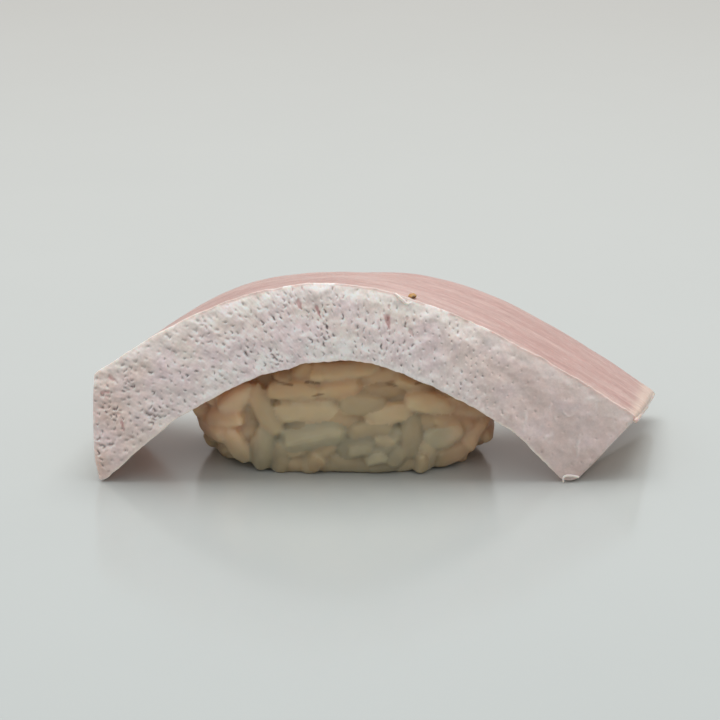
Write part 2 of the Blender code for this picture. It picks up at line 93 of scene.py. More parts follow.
# The rice, as in the part.
BALL_CENTRE = (-2.0, 13.9, 8.0)
BALL_HALF_SIZE = (21.7, 11.7, 10.6)
PLAN_POWER = 2.8
END_POWER = 2.6
SIDE_POWER = 5.0
FISH_GAP = 0.35
SHOWN_GRAINS = (                  # x, height, turn from level in degrees, length, how proud
    (-17.2, 10.6, 42, 6.4, 0.5),
    (-19.0, 7.2, 5, 6.6, 0.3),
    (-13.4, 9.2, -62, 7.9, 0.6),
    (-13.6, 3.5, 88, 6.8, 0.8),
    (-6.6, 5.7, 14, 9.2, 0.9),
    (-7.5, 9.1, 4, 9.0, 0.1),
    (-17.3, 3.5, -55, 6.2, 0.2),
    (-10.9, 2.3, 84, 4.8, 0.1),
    (-5.9, 2.5, 50, 6.2, 0.1),
    (-1.2, 1.6, -6, 6.6, 0.2),
    (-3.1, 12.5, 10, 6.6, 0.2),
    (-1.4, 15.3, 5, 8.4, 0.3),
    (-9.4, 12.2, 0, 7.0, 0.1),
    (0.4, 10.5, -3, 6.2, 0.5),
    (4.0, 8.8, 12, 6.8, 0.5),
    (1.4, 6.6, 5, 6.0, 0.1),
    (7.0, 5.3, 82, 6.8, 0.7),
    (3.6, 4.3, 50, 6.0, 0.4),
    (-0.3, 4.1, 27, 6.6, 0.6),
    (3.6, 1.6, 10, 6.6, 0.4),
    (9.2, 2.4, 80, 5.0, 0.6),
    (11.6, 5.1, 18, 6.0, 0.3),
    (12.8, 2.1, 14, 6.4, 0.2),
    (11.0, 7.6, 5, 6.2, 0.1),
    (10.0, 10.2, -12, 8.0, 0.2),
    (16.4, 4.7, 50, 6.6, 0.3),
)
GRAIN_LENGTH = 6.9
GRAIN_WIDTH = 3.15
GRAIN_FLATNESS = 0.84
GRAIN_SIZE_SPREAD = 0.13
OUTER_GRAINS = 98
INNER_GRAINS = 70
OUTER_TURN = 45.0
TRIES_PER_GRAIN = 12
OUTWARD_PRESS = 0.03
GRAIN_TAPER = 0.42
GRAIN_SQUEEZE = 0.9
SHOWN_SLIDE = 0.9
SETTLING_STEPS = 200
SURFACE_DEPTH = 3.6
RICE_SEED = 11
FLOOR_GAP = 0.12
POLE_LIMIT = 0.99                 # heights past this share of the ball count as this one
DEPTH_SAMPLES = 200               # places tried from the front to the middle for a grain
LOWEST_OUTER = 1.3                # height of the lowest middle of an outer grain
OUTER_TOP_SHARE = 0.9             # and of the highest, as a share of the ball's half height
INNER_SPREAD = 0.7                # how far out the inner grains start, as a share of the ball
LAP_PUSH = 0.25                   # how much of a lap with another grain one step undoes
LEAST_DISTANCE = 0.05             # grains nearer than this are pushed as if this far apart
BOUND_PUSH = 0.6                  # how much of a crossing of a bound one step undoes
TWIST_SHARE = 0.5                 # how readily a grain turns when pushed off its middle

# The fine mesh of the rice.
GRAIN_SIDES = 18
GRAIN_RINGS = 15
CORE_INSET = 1.7
ROOF_GAP = 0.08
FOOT_GAP = 0.03
RICE_VOXEL = 0.232
RICE_SWELL = 0.22                 # grains swell by this and shrink again, which fills their creases
# Grains of the front that stand out: how many times as wide, and how much further out.
BOLD_GRAINS = {3: (1.18, 0.4), 4: (1.2, 0.5), 0: (1.1, 0.3), 21: (1.1, 0.4)}
SOFTENING = 0.5
CORE_RINGS = 16
CORE_COLUMNS = 48
BIT_POWER = 3.6                   # bluntness of a broken grain's ends
BACK_STEP = 0.8                   # how far the front's other grains stand behind the ones that show
SPECK_PLACE = (7.2, 3.5)
SPECK_HALF_SIZE = (0.56, 0.62, 0.32)
SPECK_EYE = (0.35, -0.9, 0.1)     # the middle of its dark spot, on a ball of radius 1
SPECK_SIDES = 24
SPECK_RINGS = (-0.9, -0.6, -0.25, 0.1, 0.45, 0.75, 0.93)
TUBE_SIDES = 10
# Middle lines of the sliver of fat and of the thread of skin, and the steps along each.
SLIVER = ((4.8, 2.3, 26.73), (5.25, 2.0, 26.39), (5.8, 1.85, 25.9), (6.4, 1.8, 25.4), (6.95, 1.95, 25.5))
THREAD = ((30.4, -0.1, 0.75), (29.4, -0.15, 0.95), (28.6, -0.25, 1.0), (28.2, -0.4, 0.75),
          (28.25, -0.42, 0.15))
SLIVER_STEPS = 25
THREAD_STEPS = 17
LIP_STEPS = 40
SLIVER_RADII = (0.24, 0.2)
THREAD_RADII = (0.17, 0.15)
LIP_RADIUS = 0.42
LIP_SHIFT = (-0.34, 0.0, -0.28)   # of the curl's middle line from the upper edge of the right end
BITS = (                          # broken grains: x, height, turn, length, width, how proud
    (0.0, 3.7, 5, 3.6, 2.1, 1.1),
    (3.5, 5.1, -10, 3.0, 2.0, 1.0),
    (5.0, 2.9, 60, 3.1, 2.3, 1.1),
    (2.2, 2.5, 20, 3.2, 1.9, 1.2),
    (-6.2, 1.7, 50, 2.8, 2.5, 0.9),
    (-9.1, 3.3, 8, 3.6, 1.0, 0.9),
    (8.6, 1.6, 84, 2.9, 1.7, 1.6),
    (-9.3, 1.3, 0, 4.2, 2.4, 0.1),
    (-3.6, 1.3, 0, 4.2, 2.4, 0.1),
    (6.4, 1.3, 10, 3.4, 2.4, 0.3),
    (-5.7, 15.0, 80, 3.2, 2.3, 0.1),
)
# Painted shadows in thin gaps between the front's upper grains: x and height of their two ends.
GAP_SHADOWS = ((-12.2, 13.9, -10.2, 13.3), (-10.2, 13.3, -9.4, 13.2), (-7.5, 13.5, -5.7, 13.4),
        (-6.5, 11.7, -5.1, 12.0), (3.7, 13.2, 5.1, 12.9), (7.7, 13.2, 9.6, 13.3))
# Where the front's grains are whiter: x, height, half length, half height, how much.
WHITE_PLACES = ((-6.6, 5.7, 3.2, 1.8, 1.3), (2.0, 3.2, 5.5, 2.6, 1.2), (-13.6, 4.0, 2.5, 3.5, 0.9),
                (-17.2, 10.6, 1.5, 1.5, 1.0), (8.0, 4.0, 4.0, 3.0, 0.7), (11.6, 5.1, 1.6, 1.2, 1.0))

# The skin side's relief: sizes and depths of its bumps, then its pores.
FACE_BUMPS = ((4.0, 0.12), (1.9, 0.15), (0.9, 0.055), (0.42, 0.015))
# painted shade: slopes of the skin side's relief are painted lighter where they face up and darker where they
# face down
SLOPE_SHADE = 0.75                # how much lighter the slopes of the relief are that face up
STEEPEST = 0.4
PORE_TRIES = 20000
PORE_SPACING = 0.88
PORE_LENGTH = 0.44
PORE_WIDTH = 0.17
PORE_DEPTH = 0.16
PORE_WARP = 0.16
HOOKED_SHARE = 0.35               # of the pores, with a second tick at another turn
STREAK_CELL = 0.1                 # of the map of streaks, and the x and z that it covers
STREAK_X = (-42, 48)
STREAK_Z = (-2, 31)
STREAK_REACH = 7                  # cells to both sides that a streak is drawn out over
STREAK_RELIEF = 0.008             # height of the skin side's streaks, of the top's, and of its swells
TOP_STREAK_RELIEF = 0.04
TOP_RELIEF = 0.1
SLIT_TAPER = 0.7
SLIT_DEPTH = 0.1
CREASE_HEIGHT = 0.1
STREAK_RUN = 80                   # length of the slice, as the top's streaks and its fibres count it
FIBRE_RUN = 85
DIMPLE_DEPTH = 0.05               # of the softer hollow round each pore
# The larger slits in it: x, z, turn in degrees, length, width, how red.
SLITS = (
    (-8.3, 25.35, -64, 1.6, 0.7, 0.8),
    (-5.7, 24.45, -68, 2.0, 0.46, 1.0),
    (3.85, 23.1, -80, 2.3, 0.9, 0.9),
    (4.0, 25.0, -66, 0.8, 0.4, 0.5),
    (-32.8, 8.15, -76, 2.1, 0.4, 1.0),
    (-34.2, 14.55, -25, 1.5, 0.6, 0.7),
    (-35.2, 12.75, 10, 1.3, 0.5, 0.7),
    (7.0, 21.55, -60, 1.6, 0.5, 0.4),
    (6.4, 23.45, -86, 0.9, 0.4, 0.3),
    (-33.4, 9.85, 0, 1.2, 0.5, 0.3),
)

# Painted highlights on pieces of the upper edge: x and half length.
EDGE_GLINTS = ((-5.4, 1.0), (-10.0, 0.6), (10.0, 1.0), (16.4, 1.5))

# Pale creases of the smooth right part: x, z, turn in degrees, length, width.
CREASES = (
    (17.5, 10.9, 75, 1.0, 0.4),
    (26.2, 10.6, 80, 0.9, 0.25),
    (28.2, 9.9, -50, 0.9, 0.25),
    (28.8, 9.4, 15, 1.1, 0.25),
    (27.0, 9.2, -70, 0.8, 0.25),
    (25.9, 6.6, 35, 1.5, 0.6),
    (22.8, 9.0, 80, 3.4, 0.6),
    (20.9, 7.4, -45, 2.2, 0.5),
    (30.2, 5.0, 84, 3.0, 0.4),
)

# Colours, 0 to 255 as a picture gives them.
LILAC = (243, 229, 230)
CREAM = (246, 236, 227)
BLUISH = (247, 244, 243)
PEACH = (234, 208, 196)
BEIGE = (226, 208, 203)
# dark of the pores: partly their own colour, partly painted shade in the pits
PORE_DARK_AND_SHADE = (108, 90, 94)
# painted highlight: the white of lit pore rims, wet glints on the skin side and glints on the top
PAINTED_GLINT = (255, 250, 248)
SLIT = (207, 168, 166)
EDGE_CREAM = (250, 238, 226)
# the white of the sliver of fat, and of painted highlights along the skin side's upper edge
FAT_AND_HIGHLIGHT_WHITE = (252, 248, 244)
EDGE_DULL = (221, 203, 197)
PINK = (184, 148, 142)
PALE_PINK = (200, 171, 164)
GREY_PINK = (182, 150, 146)
END_CREAM = (216, 194, 180)
UNDER_PINK = (216, 142, 114)
RICE_IVORY = (195, 178, 146)
RICE_WHITE = (184, 177, 151)
# honey tone of the rice: partly its own, partly painted shade and warm bounce light under the slice
RICE_HONEY_AND_SHADE = (198, 164, 125)
# painted reflection: the fish's warm pink bounce light on the rice
RICE_PEACH_BOUNCE = (238, 204, 170)
# painted shade: the brown of gaps between rice grains
RICE_GAP_SHADE = (118, 82, 50)
SPECK_GOLD = (184, 140, 78)
SPECK_DARK = (70, 42, 22)
LIP_CREAM = (226, 208, 198)
FLOOR_PALE = (189, 194, 192)
SKY_LIGHT = (236, 238, 239)
HORIZON_LIGHT = (232, 206, 188)
SKY_RISE = 0.5                    # sine of the height where the horizon's tint ends
SKY_STRENGTH = 0.78

# The studio, in metres, watts and degrees.
FLOOR_HALF_SIZE = 3.0
LAMP_PLACE = (0.0, 0.12, 0.5)
LAMP_SIZE = (0.5, 0.4)
LAMP_POWER = 2.1
CAMERA_PLACE = (-0.0032597, -0.4028519, 0.14989)
CAMERA_TILT = 18.73               # below level
CAMERA_LENS = 150                 # and its sensor's width, in millimetres
CAMERA_SENSOR = 36
CAMERA_CLIP = (0.01, 20)


def linear(colour):
    """A picture colour as the shader's own numbers."""
    c = np.asarray(colour, float) / 255
    return np.where(c <= 0.04045, c / 12.92, ((c + 0.055) / 1.055) ** 2.4)


def rgba(colour):
    return (*linear(colour), 1.0)


def smooth(low, high, value):
    t = np.clip((value - low) / (high - low), 0, 1)
    return t * t * (3 - 2 * t)


def blend(first, second, amount):
    """Rows of colours, mixed by an amount for each row."""
    amount = np.clip(amount, 0, 1)[..., None]
    return first * (1 - amount) + second * amount


def toned(colours, tone, amount):
    """Rows of colours with a picture colour mixed in."""
    return blend(colours, linear(tone), amount)


def unit(vectors):
    return vectors / np.maximum(np.linalg.norm(vectors, axis=-1, keepdims=True), 1e-9)


def noise_at(points, size, seed):
    """Smooth noise from about -1 to 1, with features of that size. size may differ by axis."""
    scaled = np.asarray(points, float) / size @ NOISE_TILT + seed
    flat = scaled.reshape(-1, 3).tolist()
    return np.array([noise.noise(p) for p in flat]).reshape(scaled.shape[:-1])


# ---- the slice ----


def curve(stations, shares):
    """Points at shares of the way through the stations, on a Catmull-Rom curve."""
    stations = np.array(stations)
    last = len(stations) - 1
    place = np.clip(shares, 0, 1) * last
    at = np.minimum(place.astype(int), last - 1)
    t = (place - at)[:, None]
    a, b, c, d = (stations[np.clip(at + i, 0, last)] for i in (-1, 0, 1, 2))
    return b + 0.5 * t * (c - a + t * (2 * a - 5 * b + 4 * c - d + t * (3 * (b - c) + d - a)))


def in_depth(edge, y):
    return np.stack([edge[:, 0], np.full(len(edge), y), edge[:, 1]], -1)


def section_corners(shares):
    """The slice's corners at shares of its length: front low, front high, back high, back low."""
    low, high, back = (curve(edge, shares) for edge in (FRONT_LOW, FRONT_HIGH, BACK_HIGH))
    run = unit(curve(BACK_HIGH, shares + 0.01) - curve(BACK_HIGH, shares - 0.01))
    thickness = BACK_END_THICKNESS + (BACK_THICKNESS - BACK_END_THICKNESS) * np.sin(np.pi * shares)
    under = back + np.stack([run[:, 1], -run[:, 0]], -1) * thickness[:, None]
    return np.stack([
        in_depth(low, 0.0),
        in_depth(high, FACE_SETBACK),
        in_depth(back, SLICE_WIDTH),
        in_depth(under, SLICE_WIDTH - BACK_SETBACK),
    ])


def edge_waves(corners, shares):
    """How far each edge waves up and down: small waves of the front's two, as the knife left them."""
    fade = smooth(0.0, 0.03, shares) * smooth(1.0, 0.97, shares)
    waves = np.zeros((4, len(shares), 1))
    for corner, size, seed in ((0, 0.3, 3.7), (1, 0.26, 9.1)):
        edge = corners[corner]
        wave = noise_at(edge, 4.2, seed) + 0.55 * noise_at(edge, 1.5, seed)
        wave = wave + 0.35 * noise_at(edge, 0.6, seed)
        waves[corner, :, 0] = size * wave * fade
    return waves


def cut_inset(points):
    """How far each column is drawn in, so that the cut ends have rounded edges."""
    middles = points.mean(1)
    run = np.concatenate([[0], np.cumsum(np.linalg.norm(np.diff(middles, axis=0), axis=1))])
    short = np.clip(CUT_ROUNDING - np.minimum(run, run[-1] - run), 0, None)
    return CUT_ROUNDING - np.sqrt(CUT_ROUNDING**2 - short**2)


def eased(ring, values, reach):
    """Values round a closed ring, averaged over a reach to both sides."""
    step = np.linalg.norm(np.roll(ring, -1, 0) - ring, axis=1)
    place = np.cumsum(step) - step
    away = np.abs(place[:, None] - place)
    away = np.minimum(away, step.sum() - away)
    weight = np.exp(-((away / reach) ** 2)) * (step + np.roll(step, 1))
    return weight @ values / weight.sum(1, keepdims=True)


def round_cuts(points, normals):
    """Draws the last columns in, which rounds the edges of the cut ends."""
    inset = cut_inset(points)
    for column in np.nonzero(inset)[0]:
        points[column] -= inset[column] * eased(points[column], normals[column], CORNER_EASE)
    return points


def press_flat(points):
    """Lays what would reach below the floor flat on it."""
    z = points[..., 2]
    low = PRESS_HEIGHT * np.exp(np.minimum(z, PRESS_HEIGHT) / PRESS_HEIGHT - 1)
    points[..., 2] = np.where(z < PRESS_HEIGHT, low, z)
    return points


def slice_grid(shares):
    """Points of the slice, in columns along it and rows round it, with each row's side and place."""
    corners = section_corners(shares)
    run = np.linalg.norm(corners[0] - corners[0][0], axis=1)
    corners[0] += np.outer(TIP_LIFT * np.clip(1 - run / TIP_RUN, 0, 1) ** 2, UP)
    waves = edge_waves(corners, shares)
    middle = corners.mean(0)
    start, end = CROWN_GROWTH
    grown = np.clip((shares - start) / (end - start), 0, 1)[:, None]
    rows, sides, places = [], [], []
    for i, (steps, crown) in enumerate(zip(SIDE_STEPS, SIDE_CROWNS)):
        crown = crown * (grown if i == 1 else 1)
        start, end, after = corners[i], corners[(i + 1) % 4], corners[(i + 2) % 4]
        along = end - start
        length = np.linalg.norm(along, axis=-1, keepdims=True)
        along = along / length
        outward = (start + end) / 2 - middle
        outward = unit(outward - along * np.sum(outward * along, -1, keepdims=True))
        wave, next_wave = waves[i], waves[(i + 1) % 4]
        for t in np.linspace(0, 1, steps + 1):
            reach = EDGE_ROUNDING + t * (length - 2 * EDGE_ROUNDING)
            lift = wave * np.exp(-reach / WAVE_REACH) + next_wave * np.exp((reach - length) / WAVE_REACH)
            roll = (max(t - ROLL_START, 0) / (1 - ROLL_START)) ** 2 if i == 0 else 0
            roll = np.exp(-reach / ROLL_REACH) if i == 1 else roll
            bulge = outward * crown * 4 * t * (1 - t)
            rows.append(start + along * reach + bulge + lift * UP + EDGE_ROLL * roll * BACKWARDS)
            sides.append(i)
            places.append(t)
        first = end - along * EDGE_ROUNDING
        last = end + unit(after - end) * EDGE_ROUNDING
        for t in np.arange(1, CORNER_STEPS) / CORNER_STEPS:
            bend = first * (1 - t) ** 2 + end * 2 * t * (1 - t) + last * t**2
            bend = bend + next_wave * math.exp(-EDGE_ROUNDING / WAVE_REACH) * UP
            rows.append(bend + (EDGE_ROLL if i == 0 else 0) * BACKWARDS)
            sides.append(i + 0.5)
            places.append(t)
    return np.stack(rows, 1), np.array(sides), np.array(places)


def grid_normals(points):
    along = np.gradient(points, axis=0)
    around = np.roll(points, -1, 1) - np.roll(points, 1, 1)
    return unit(np.cross(along, around))


def side_weight(sides, places, side):
    """How far each row belongs to a side: 1 on it, fading round its two corners."""
    weight = (sides == side).astype(float)
    weight += np.where(sides == side + 0.5, 1 - places, 0)
    weight += np.where(sides == (side - 0.5) % 4, places, 0)
    return weight


def streak_turn(x):
    """Which way the skin side's streaks run: nearly level at the left, steep from the middle on."""
    return -np.radians(12 + 74 * smooth(-38, 12, x))


def streak_field(draw):
    """A map of fine streaks over x and z, drawn out along the turn that holds there."""
    xs = np.arange(*STREAK_X, STREAK_CELL)
    zs = np.arange(*STREAK_Z, STREAK_CELL)
    speckle = draw.normal(size=(len(xs), len(zs)))
    speckle = speckle + np.roll(speckle, 1, 0) + np.roll(speckle, 1, 1)
    column, row = np.meshgrid(np.arange(len(xs)), np.arange(len(zs)), indexing="ij")
    turn = streak_turn(xs)[:, None]
    total = np.zeros_like(speckle)
    for step in range(-STREAK_REACH, STREAK_REACH + 1):
        i = np.clip(np.rint(column + step * np.cos(turn)).astype(int), 0, len(xs) - 1)
        j = np.clip(np.rint(row + step * np.sin(turn)).astype(int), 0, len(zs) - 1)
        total += speckle[i, j] * (1 - abs(step) / (STREAK_REACH + 1))
    return total / total.std()


def read_field(values, x, z):
    """Values of the map at places between its cells."""
    u = np.clip((x - STREAK_X[0]) / STREAK_CELL, 0, values.shape[0] - 1.001)
    v = np.clip((z - STREAK_Z[0]) / STREAK_CELL, 0, values.shape[1] - 1.001)
    i, j = u.astype(int), v.astype(int)
    u, v = u - i, v - j
    low = values[i, j] * (1 - u) + values[i + 1, j] * u
    high = values[i, j + 1] * (1 - u) + values[i + 1, j + 1] * u
    return low * (1 - v) + high * v


def pore_density(x, height):
    """Share of the usual number of pores: fewer at the right end and near the upper edge."""
    right = 1 - 0.8 * smooth(12, 27, x)
    return right * (0.3 + 0.7 * smooth(1.0, 0.8, height)) * (0.6 + 0.4 * smooth(0.0, 0.15, height))


def spread_pores(draw, face, heights):
    """Pores as rows of x, z, turn, length, width, depth and darkness."""
    column = draw.integers(4, face.shape[0] - 4, PORE_TRIES)
    row = draw.integers(3, face.shape[1] - 3, PORE_TRIES)
    kept, hooks = [], []
    for place, height in zip(face[column, row][:, [0, 2]], heights[row]):
        cluster = noise.noise((place[0] / 2.2, place[1] / 2.2, 4.5))
        room = PORE_SPACING / math.sqrt(pore_density(place[0], height)) * (1 - 0.6 * cluster)
        if kept and np.min(np.hypot(*(np.array(kept)[:, :2] - place).T)) < room:
            continue
        faint = (1 - 0.6 * smooth(11, 28, place[0])) * (1 - 0.5 * smooth(0.68, 0.9, height))
        strong = draw.uniform(0, 1) ** max(2.0 - 2.5 * cluster, 0.8)
        size = math.exp(0.25 * draw.normal()) * (0.75 + 0.5 * strong)
        turn = streak_turn(place[0]) + math.radians(18 * draw.normal())
        size = size * (1 - 0.35 * smooth(2, 20, place[0]))
        length = PORE_LENGTH * size * (1 - 0.25 * smooth(-20, 10, place[0]))
        form = (PORE_WIDTH * size**0.7, PORE_DEPTH * size * faint, faint * (0.2 + 0.8 * strong))
        kept.append((*place, turn, length, *form))
        if draw.uniform() < HOOKED_SHARE:
            aside = turn + math.radians(draw.uniform(-30, 30))
            step = 0.55 * length * np.array((math.cos(aside), math.sin(aside)))
            hooks.append((*(place + step), turn + math.radians(draw.uniform(40, 120)), 0.7 * length, *form))
    return np.array(kept + hooks)


def local_radius(x, z, place, turn, length, width, taper=0.0):
    """Distance from a pit's middle, 1 on its rim, and how far below its middle a point is."""
    dx, dz = x - place[0], z - place[1]
    along = (dx * math.cos(turn) + dz * math.sin(turn)) / (length / 2)
    across = (-dx * math.sin(turn) + dz * math.cos(turn)) / (width / 2)
    return np.hypot(along, across / (1 - taper * np.clip(along, -1, 1))), -dz / width


def near_places(x, z, place, reach):
    return np.nonzero((np.abs(x - place[0]) < reach) & (np.abs(z - place[1]) < reach))


def dig_pits(points, pores):
    """Depth, darkness, painted highlights on the lower rims of pores and on crease ridges, and redness of
    pores, slits and creases at points of the skin side.
    """
    x = points[..., 0] + PORE_WARP * noise_at(points, 0.55, 31.0)
    z = points[..., 2] + PORE_WARP * noise_at(points, 0.55, 37.0)
    depth, dark, lit, red = np.zeros((4, *x.shape))
    nearest = np.full(x.shape, 9.0)
    for px, pz, turn, length, width, deep, darkness in pores:
        near = near_places(x, z, (px, pz), 1.6 * length)
        radius, below = local_radius(x[near], z[near], (px, pz), turn, length, width)
        pit = 1 - smooth(0.3, 1.3, radius)
        rim = np.exp(-(((radius - 1.6) / 0.5) ** 2)) * np.clip(below, 0, 1)
        depth[near] += deep * pit
        dark[near] = np.maximum(dark[near], darkness * (1 - smooth(0.35, 1.25, radius)))
        lit[near] = np.maximum(lit[near], darkness * rim)
        nearest[near] = np.minimum(nearest[near], radius)
    depth += DIMPLE_DEPTH * (1 - smooth(0.8, 3.0, nearest))
    for px, pz, turn, length, width, redness in SLITS:
        near = near_places(x, z, (px, pz), length + 0.5)
        radius, _ = local_radius(x[near], z[near], (px, pz), math.radians(turn), length, width, SLIT_TAPER)
        radius = radius + 0.25 * noise_at(points[near], 0.5, 4.0)
        pit = 1 - smooth(0.6, 1.2, radius)
        depth[near] += SLIT_DEPTH * pit
        red[near] = np.maximum(red[near], redness * pit)
    for px, pz, turn, length, width in CREASES:
        near = near_places(x, z, (px, pz), length + 0.5)
        radius, _ = local_radius(x[near], z[near], (px, pz), math.radians(turn), length, width)
        ridge = np.exp(-((radius + 0.4 * noise_at(points[near], 0.6, 6.0)) ** 2))
        depth[near] -= CREASE_HEIGHT * ridge
        lit[near] = np.maximum(lit[near], 0.8 * ridge)
    return depth, dark, lit, red


def face_colours(points, height, streaks, slope, dark, lit, red):
    """Colour of the skin side at each point."""
    x = points[..., 0]
    cloud = noise_at(points, 4.2, 1.0)
    patch = noise_at(points, 1.7, 5.0)
    grain = noise_at(points, 0.7, 15.0)
    right = smooth(5, 25, x)
    top_band = smooth(0.7, 0.98, height)
    low_band = smooth(0.5, 0.05, height) * smooth(-32, -14, x) * smooth(28, 10, x)
    left = smooth(-26, -37, x) + 0.5 * smooth(0.6, 1.0, height) * smooth(-12, -28, x)
    colour = blend(linear(LILAC), linear(CREAM), 0.3 + 0.8 * cloud + 0.25 * patch + 0.5 * top_band)
    colour = toned(colour, BLUISH, low_band * (0.6 + 0.9 * patch + 0.6 * cloud))
    colour = toned(colour, PEACH, left * (0.5 + 0.7 * cloud))
    colour = toned(colour, BEIGE, right * (0.75 + 0.5 * cloud + 0.4 * patch))
    # painted highlight: whiter towards the upper edge, where the face rolls back towards the light
    colour = toned(colour, FAT_AND_HIGHLIGHT_WHITE, 0.6 * smooth(0.72, 0.96, height) * (1 - 0.65 * right))
    fleck = noise_at(points, 0.5, 25.0)
    calmer = smooth(14, 29, x)
    rough = 1 - 0.75 * calmer
    shade = 1 + 0.03 * streaks * (1 - right) + 0.07 * patch + (0.05 * grain + 0.05 * fleck) * rough
    # painted highlights: small wet glints, more along the lower and upper bands, then lit pore rims, all
    # blended towards white
    glint_flecks = smooth(0.1, 0.4, fleck + 0.5 * patch) * (0.15 + 0.3 * low_band + 0.15 * top_band) * rough
    colour = blend(colour * shade[..., None], linear(PAINTED_GLINT), np.maximum(0.55 * lit, glint_flecks))
    far = 0.1 * smooth(-12, -34, x) + 0.03 * smooth(3, 10, x) + 0.07 * smooth(22, 31, x)
    # painted light and shade from the relief's slopes, lighter facing up and darker facing down
    colour = colour * (1 + SLOPE_SHADE * slope * (1 - 0.6 * calmer) - far)[..., None]
    # pores darker: partly their own colour, partly painted shade in the pits
    colour = toned(colour, PORE_DARK_AND_SHADE, 0.85 * dark)
    return toned(colour, SLIT, red)


def top_colours(points, share, across):
    """Colour of the pink top face: fine streaks along the slice."""
    run = np.stack([share * STREAK_RUN, across * SLICE_WIDTH, np.zeros(share.shape)], -1)
    run[..., 1] += 0.8 * noise_at(run, 12.0, 2.0)
    streaks = noise_at(run, np.array((7.0, 0.7, 1.0)), 3.0)
    bands = noise_at(run, np.array((16.0, 2.2, 1.0)), 8.0)
    colour = blend(linear(PINK), linear(PALE_PINK), 0.45 + 0.8 * streaks + 0.9 * bands)
    colour = toned(colour, GREY_PINK, smooth(0.8, 1.0, across) * 0.5)
    right_end = smooth(0.965, 0.985, share + 0.006 * streaks + 0.01 * across)
    colour = toned(colour, END_CREAM, 0.85 * right_end)
    colour = toned(colour, EDGE_CREAM, smooth(0.04, 0.0, across) * 0.35)
    return colour * (1 - 0.1 * smooth(14, -10, points[..., :1])), streaks


def cut_colours(points, tone, pale=0.35):
    """Colour of the flesh inside the slice: soft layers, paler close to the skin side."""
    layers = noise_at(points, np.array((2.5, 4.0, 0.9)), 4.0)
    colour = blend(linear(tone), linear(PALE_PINK), pale + 0.5 * layers)
    return toned(colour, LILAC, 0.8 * smooth(2.6, 0.8, points[..., 1] + 0.5 * layers))


def edge_colours(colours, points, sides, front, top, height, across):
    """The slice's colours with the tones of the skin side's two long edges, and painted highlights in patches
    along the upper edge.
    """
    low_corner, high_corner = sides[None, :] == 3.5, sides[None, :] == 0.5
    corner = high_corner | low_corner
    on_face = sides[None, :] == 0
    low_line = np.where(low_corner, 1.0, front[None, :] * smooth(0.02, 0.0, height) * on_face)
    high_line = np.where(high_corner, 1.0, front[None, :] * smooth(0.975, 1.0, height) * on_face)
    wave = np.where(corner, 0.35, 0.2) + 0.8 * noise_at(points, 1.3, 11.0) + 0.5 * noise_at(points, 6.0, 13.0)
    # where the upper edge is painted with highlights: in noisy patches and at the listed glint pieces
    patch = smooth(0.05, 0.4, noise_at(points, 1.2, 11.0) + 0.4 * noise_at(points, 5.0, 13.0))
    patch = patch * smooth(24, 8, points[..., 0])
    for x, half in EDGE_GLINTS:
        patch = np.maximum(patch, 1 - smooth(0.8, 1.1, np.abs(points[..., 0] - x) / half))
    colours = toned(colours, EDGE_CREAM, 0.8 * low_line * (0.4 + wave))
    at_left = smooth(-19, -27, points[..., 0])
    dull = blend(np.broadcast_to(linear(EDGE_DULL), points.shape), linear(CREAM), 0.8 * at_left)
    colours = toned(colours, CREAM, 0.8 * at_left * top[None, :] * smooth(0.07, 0.02, across))
    colours = blend(colours, dull, 0.8 * high_line * (1 - patch))
    # painted highlights: the upper edge white in patches, dull between them
    return toned(colours, FAT_AND_HIGHLIGHT_WHITE, 0.85 * high_line * patch)


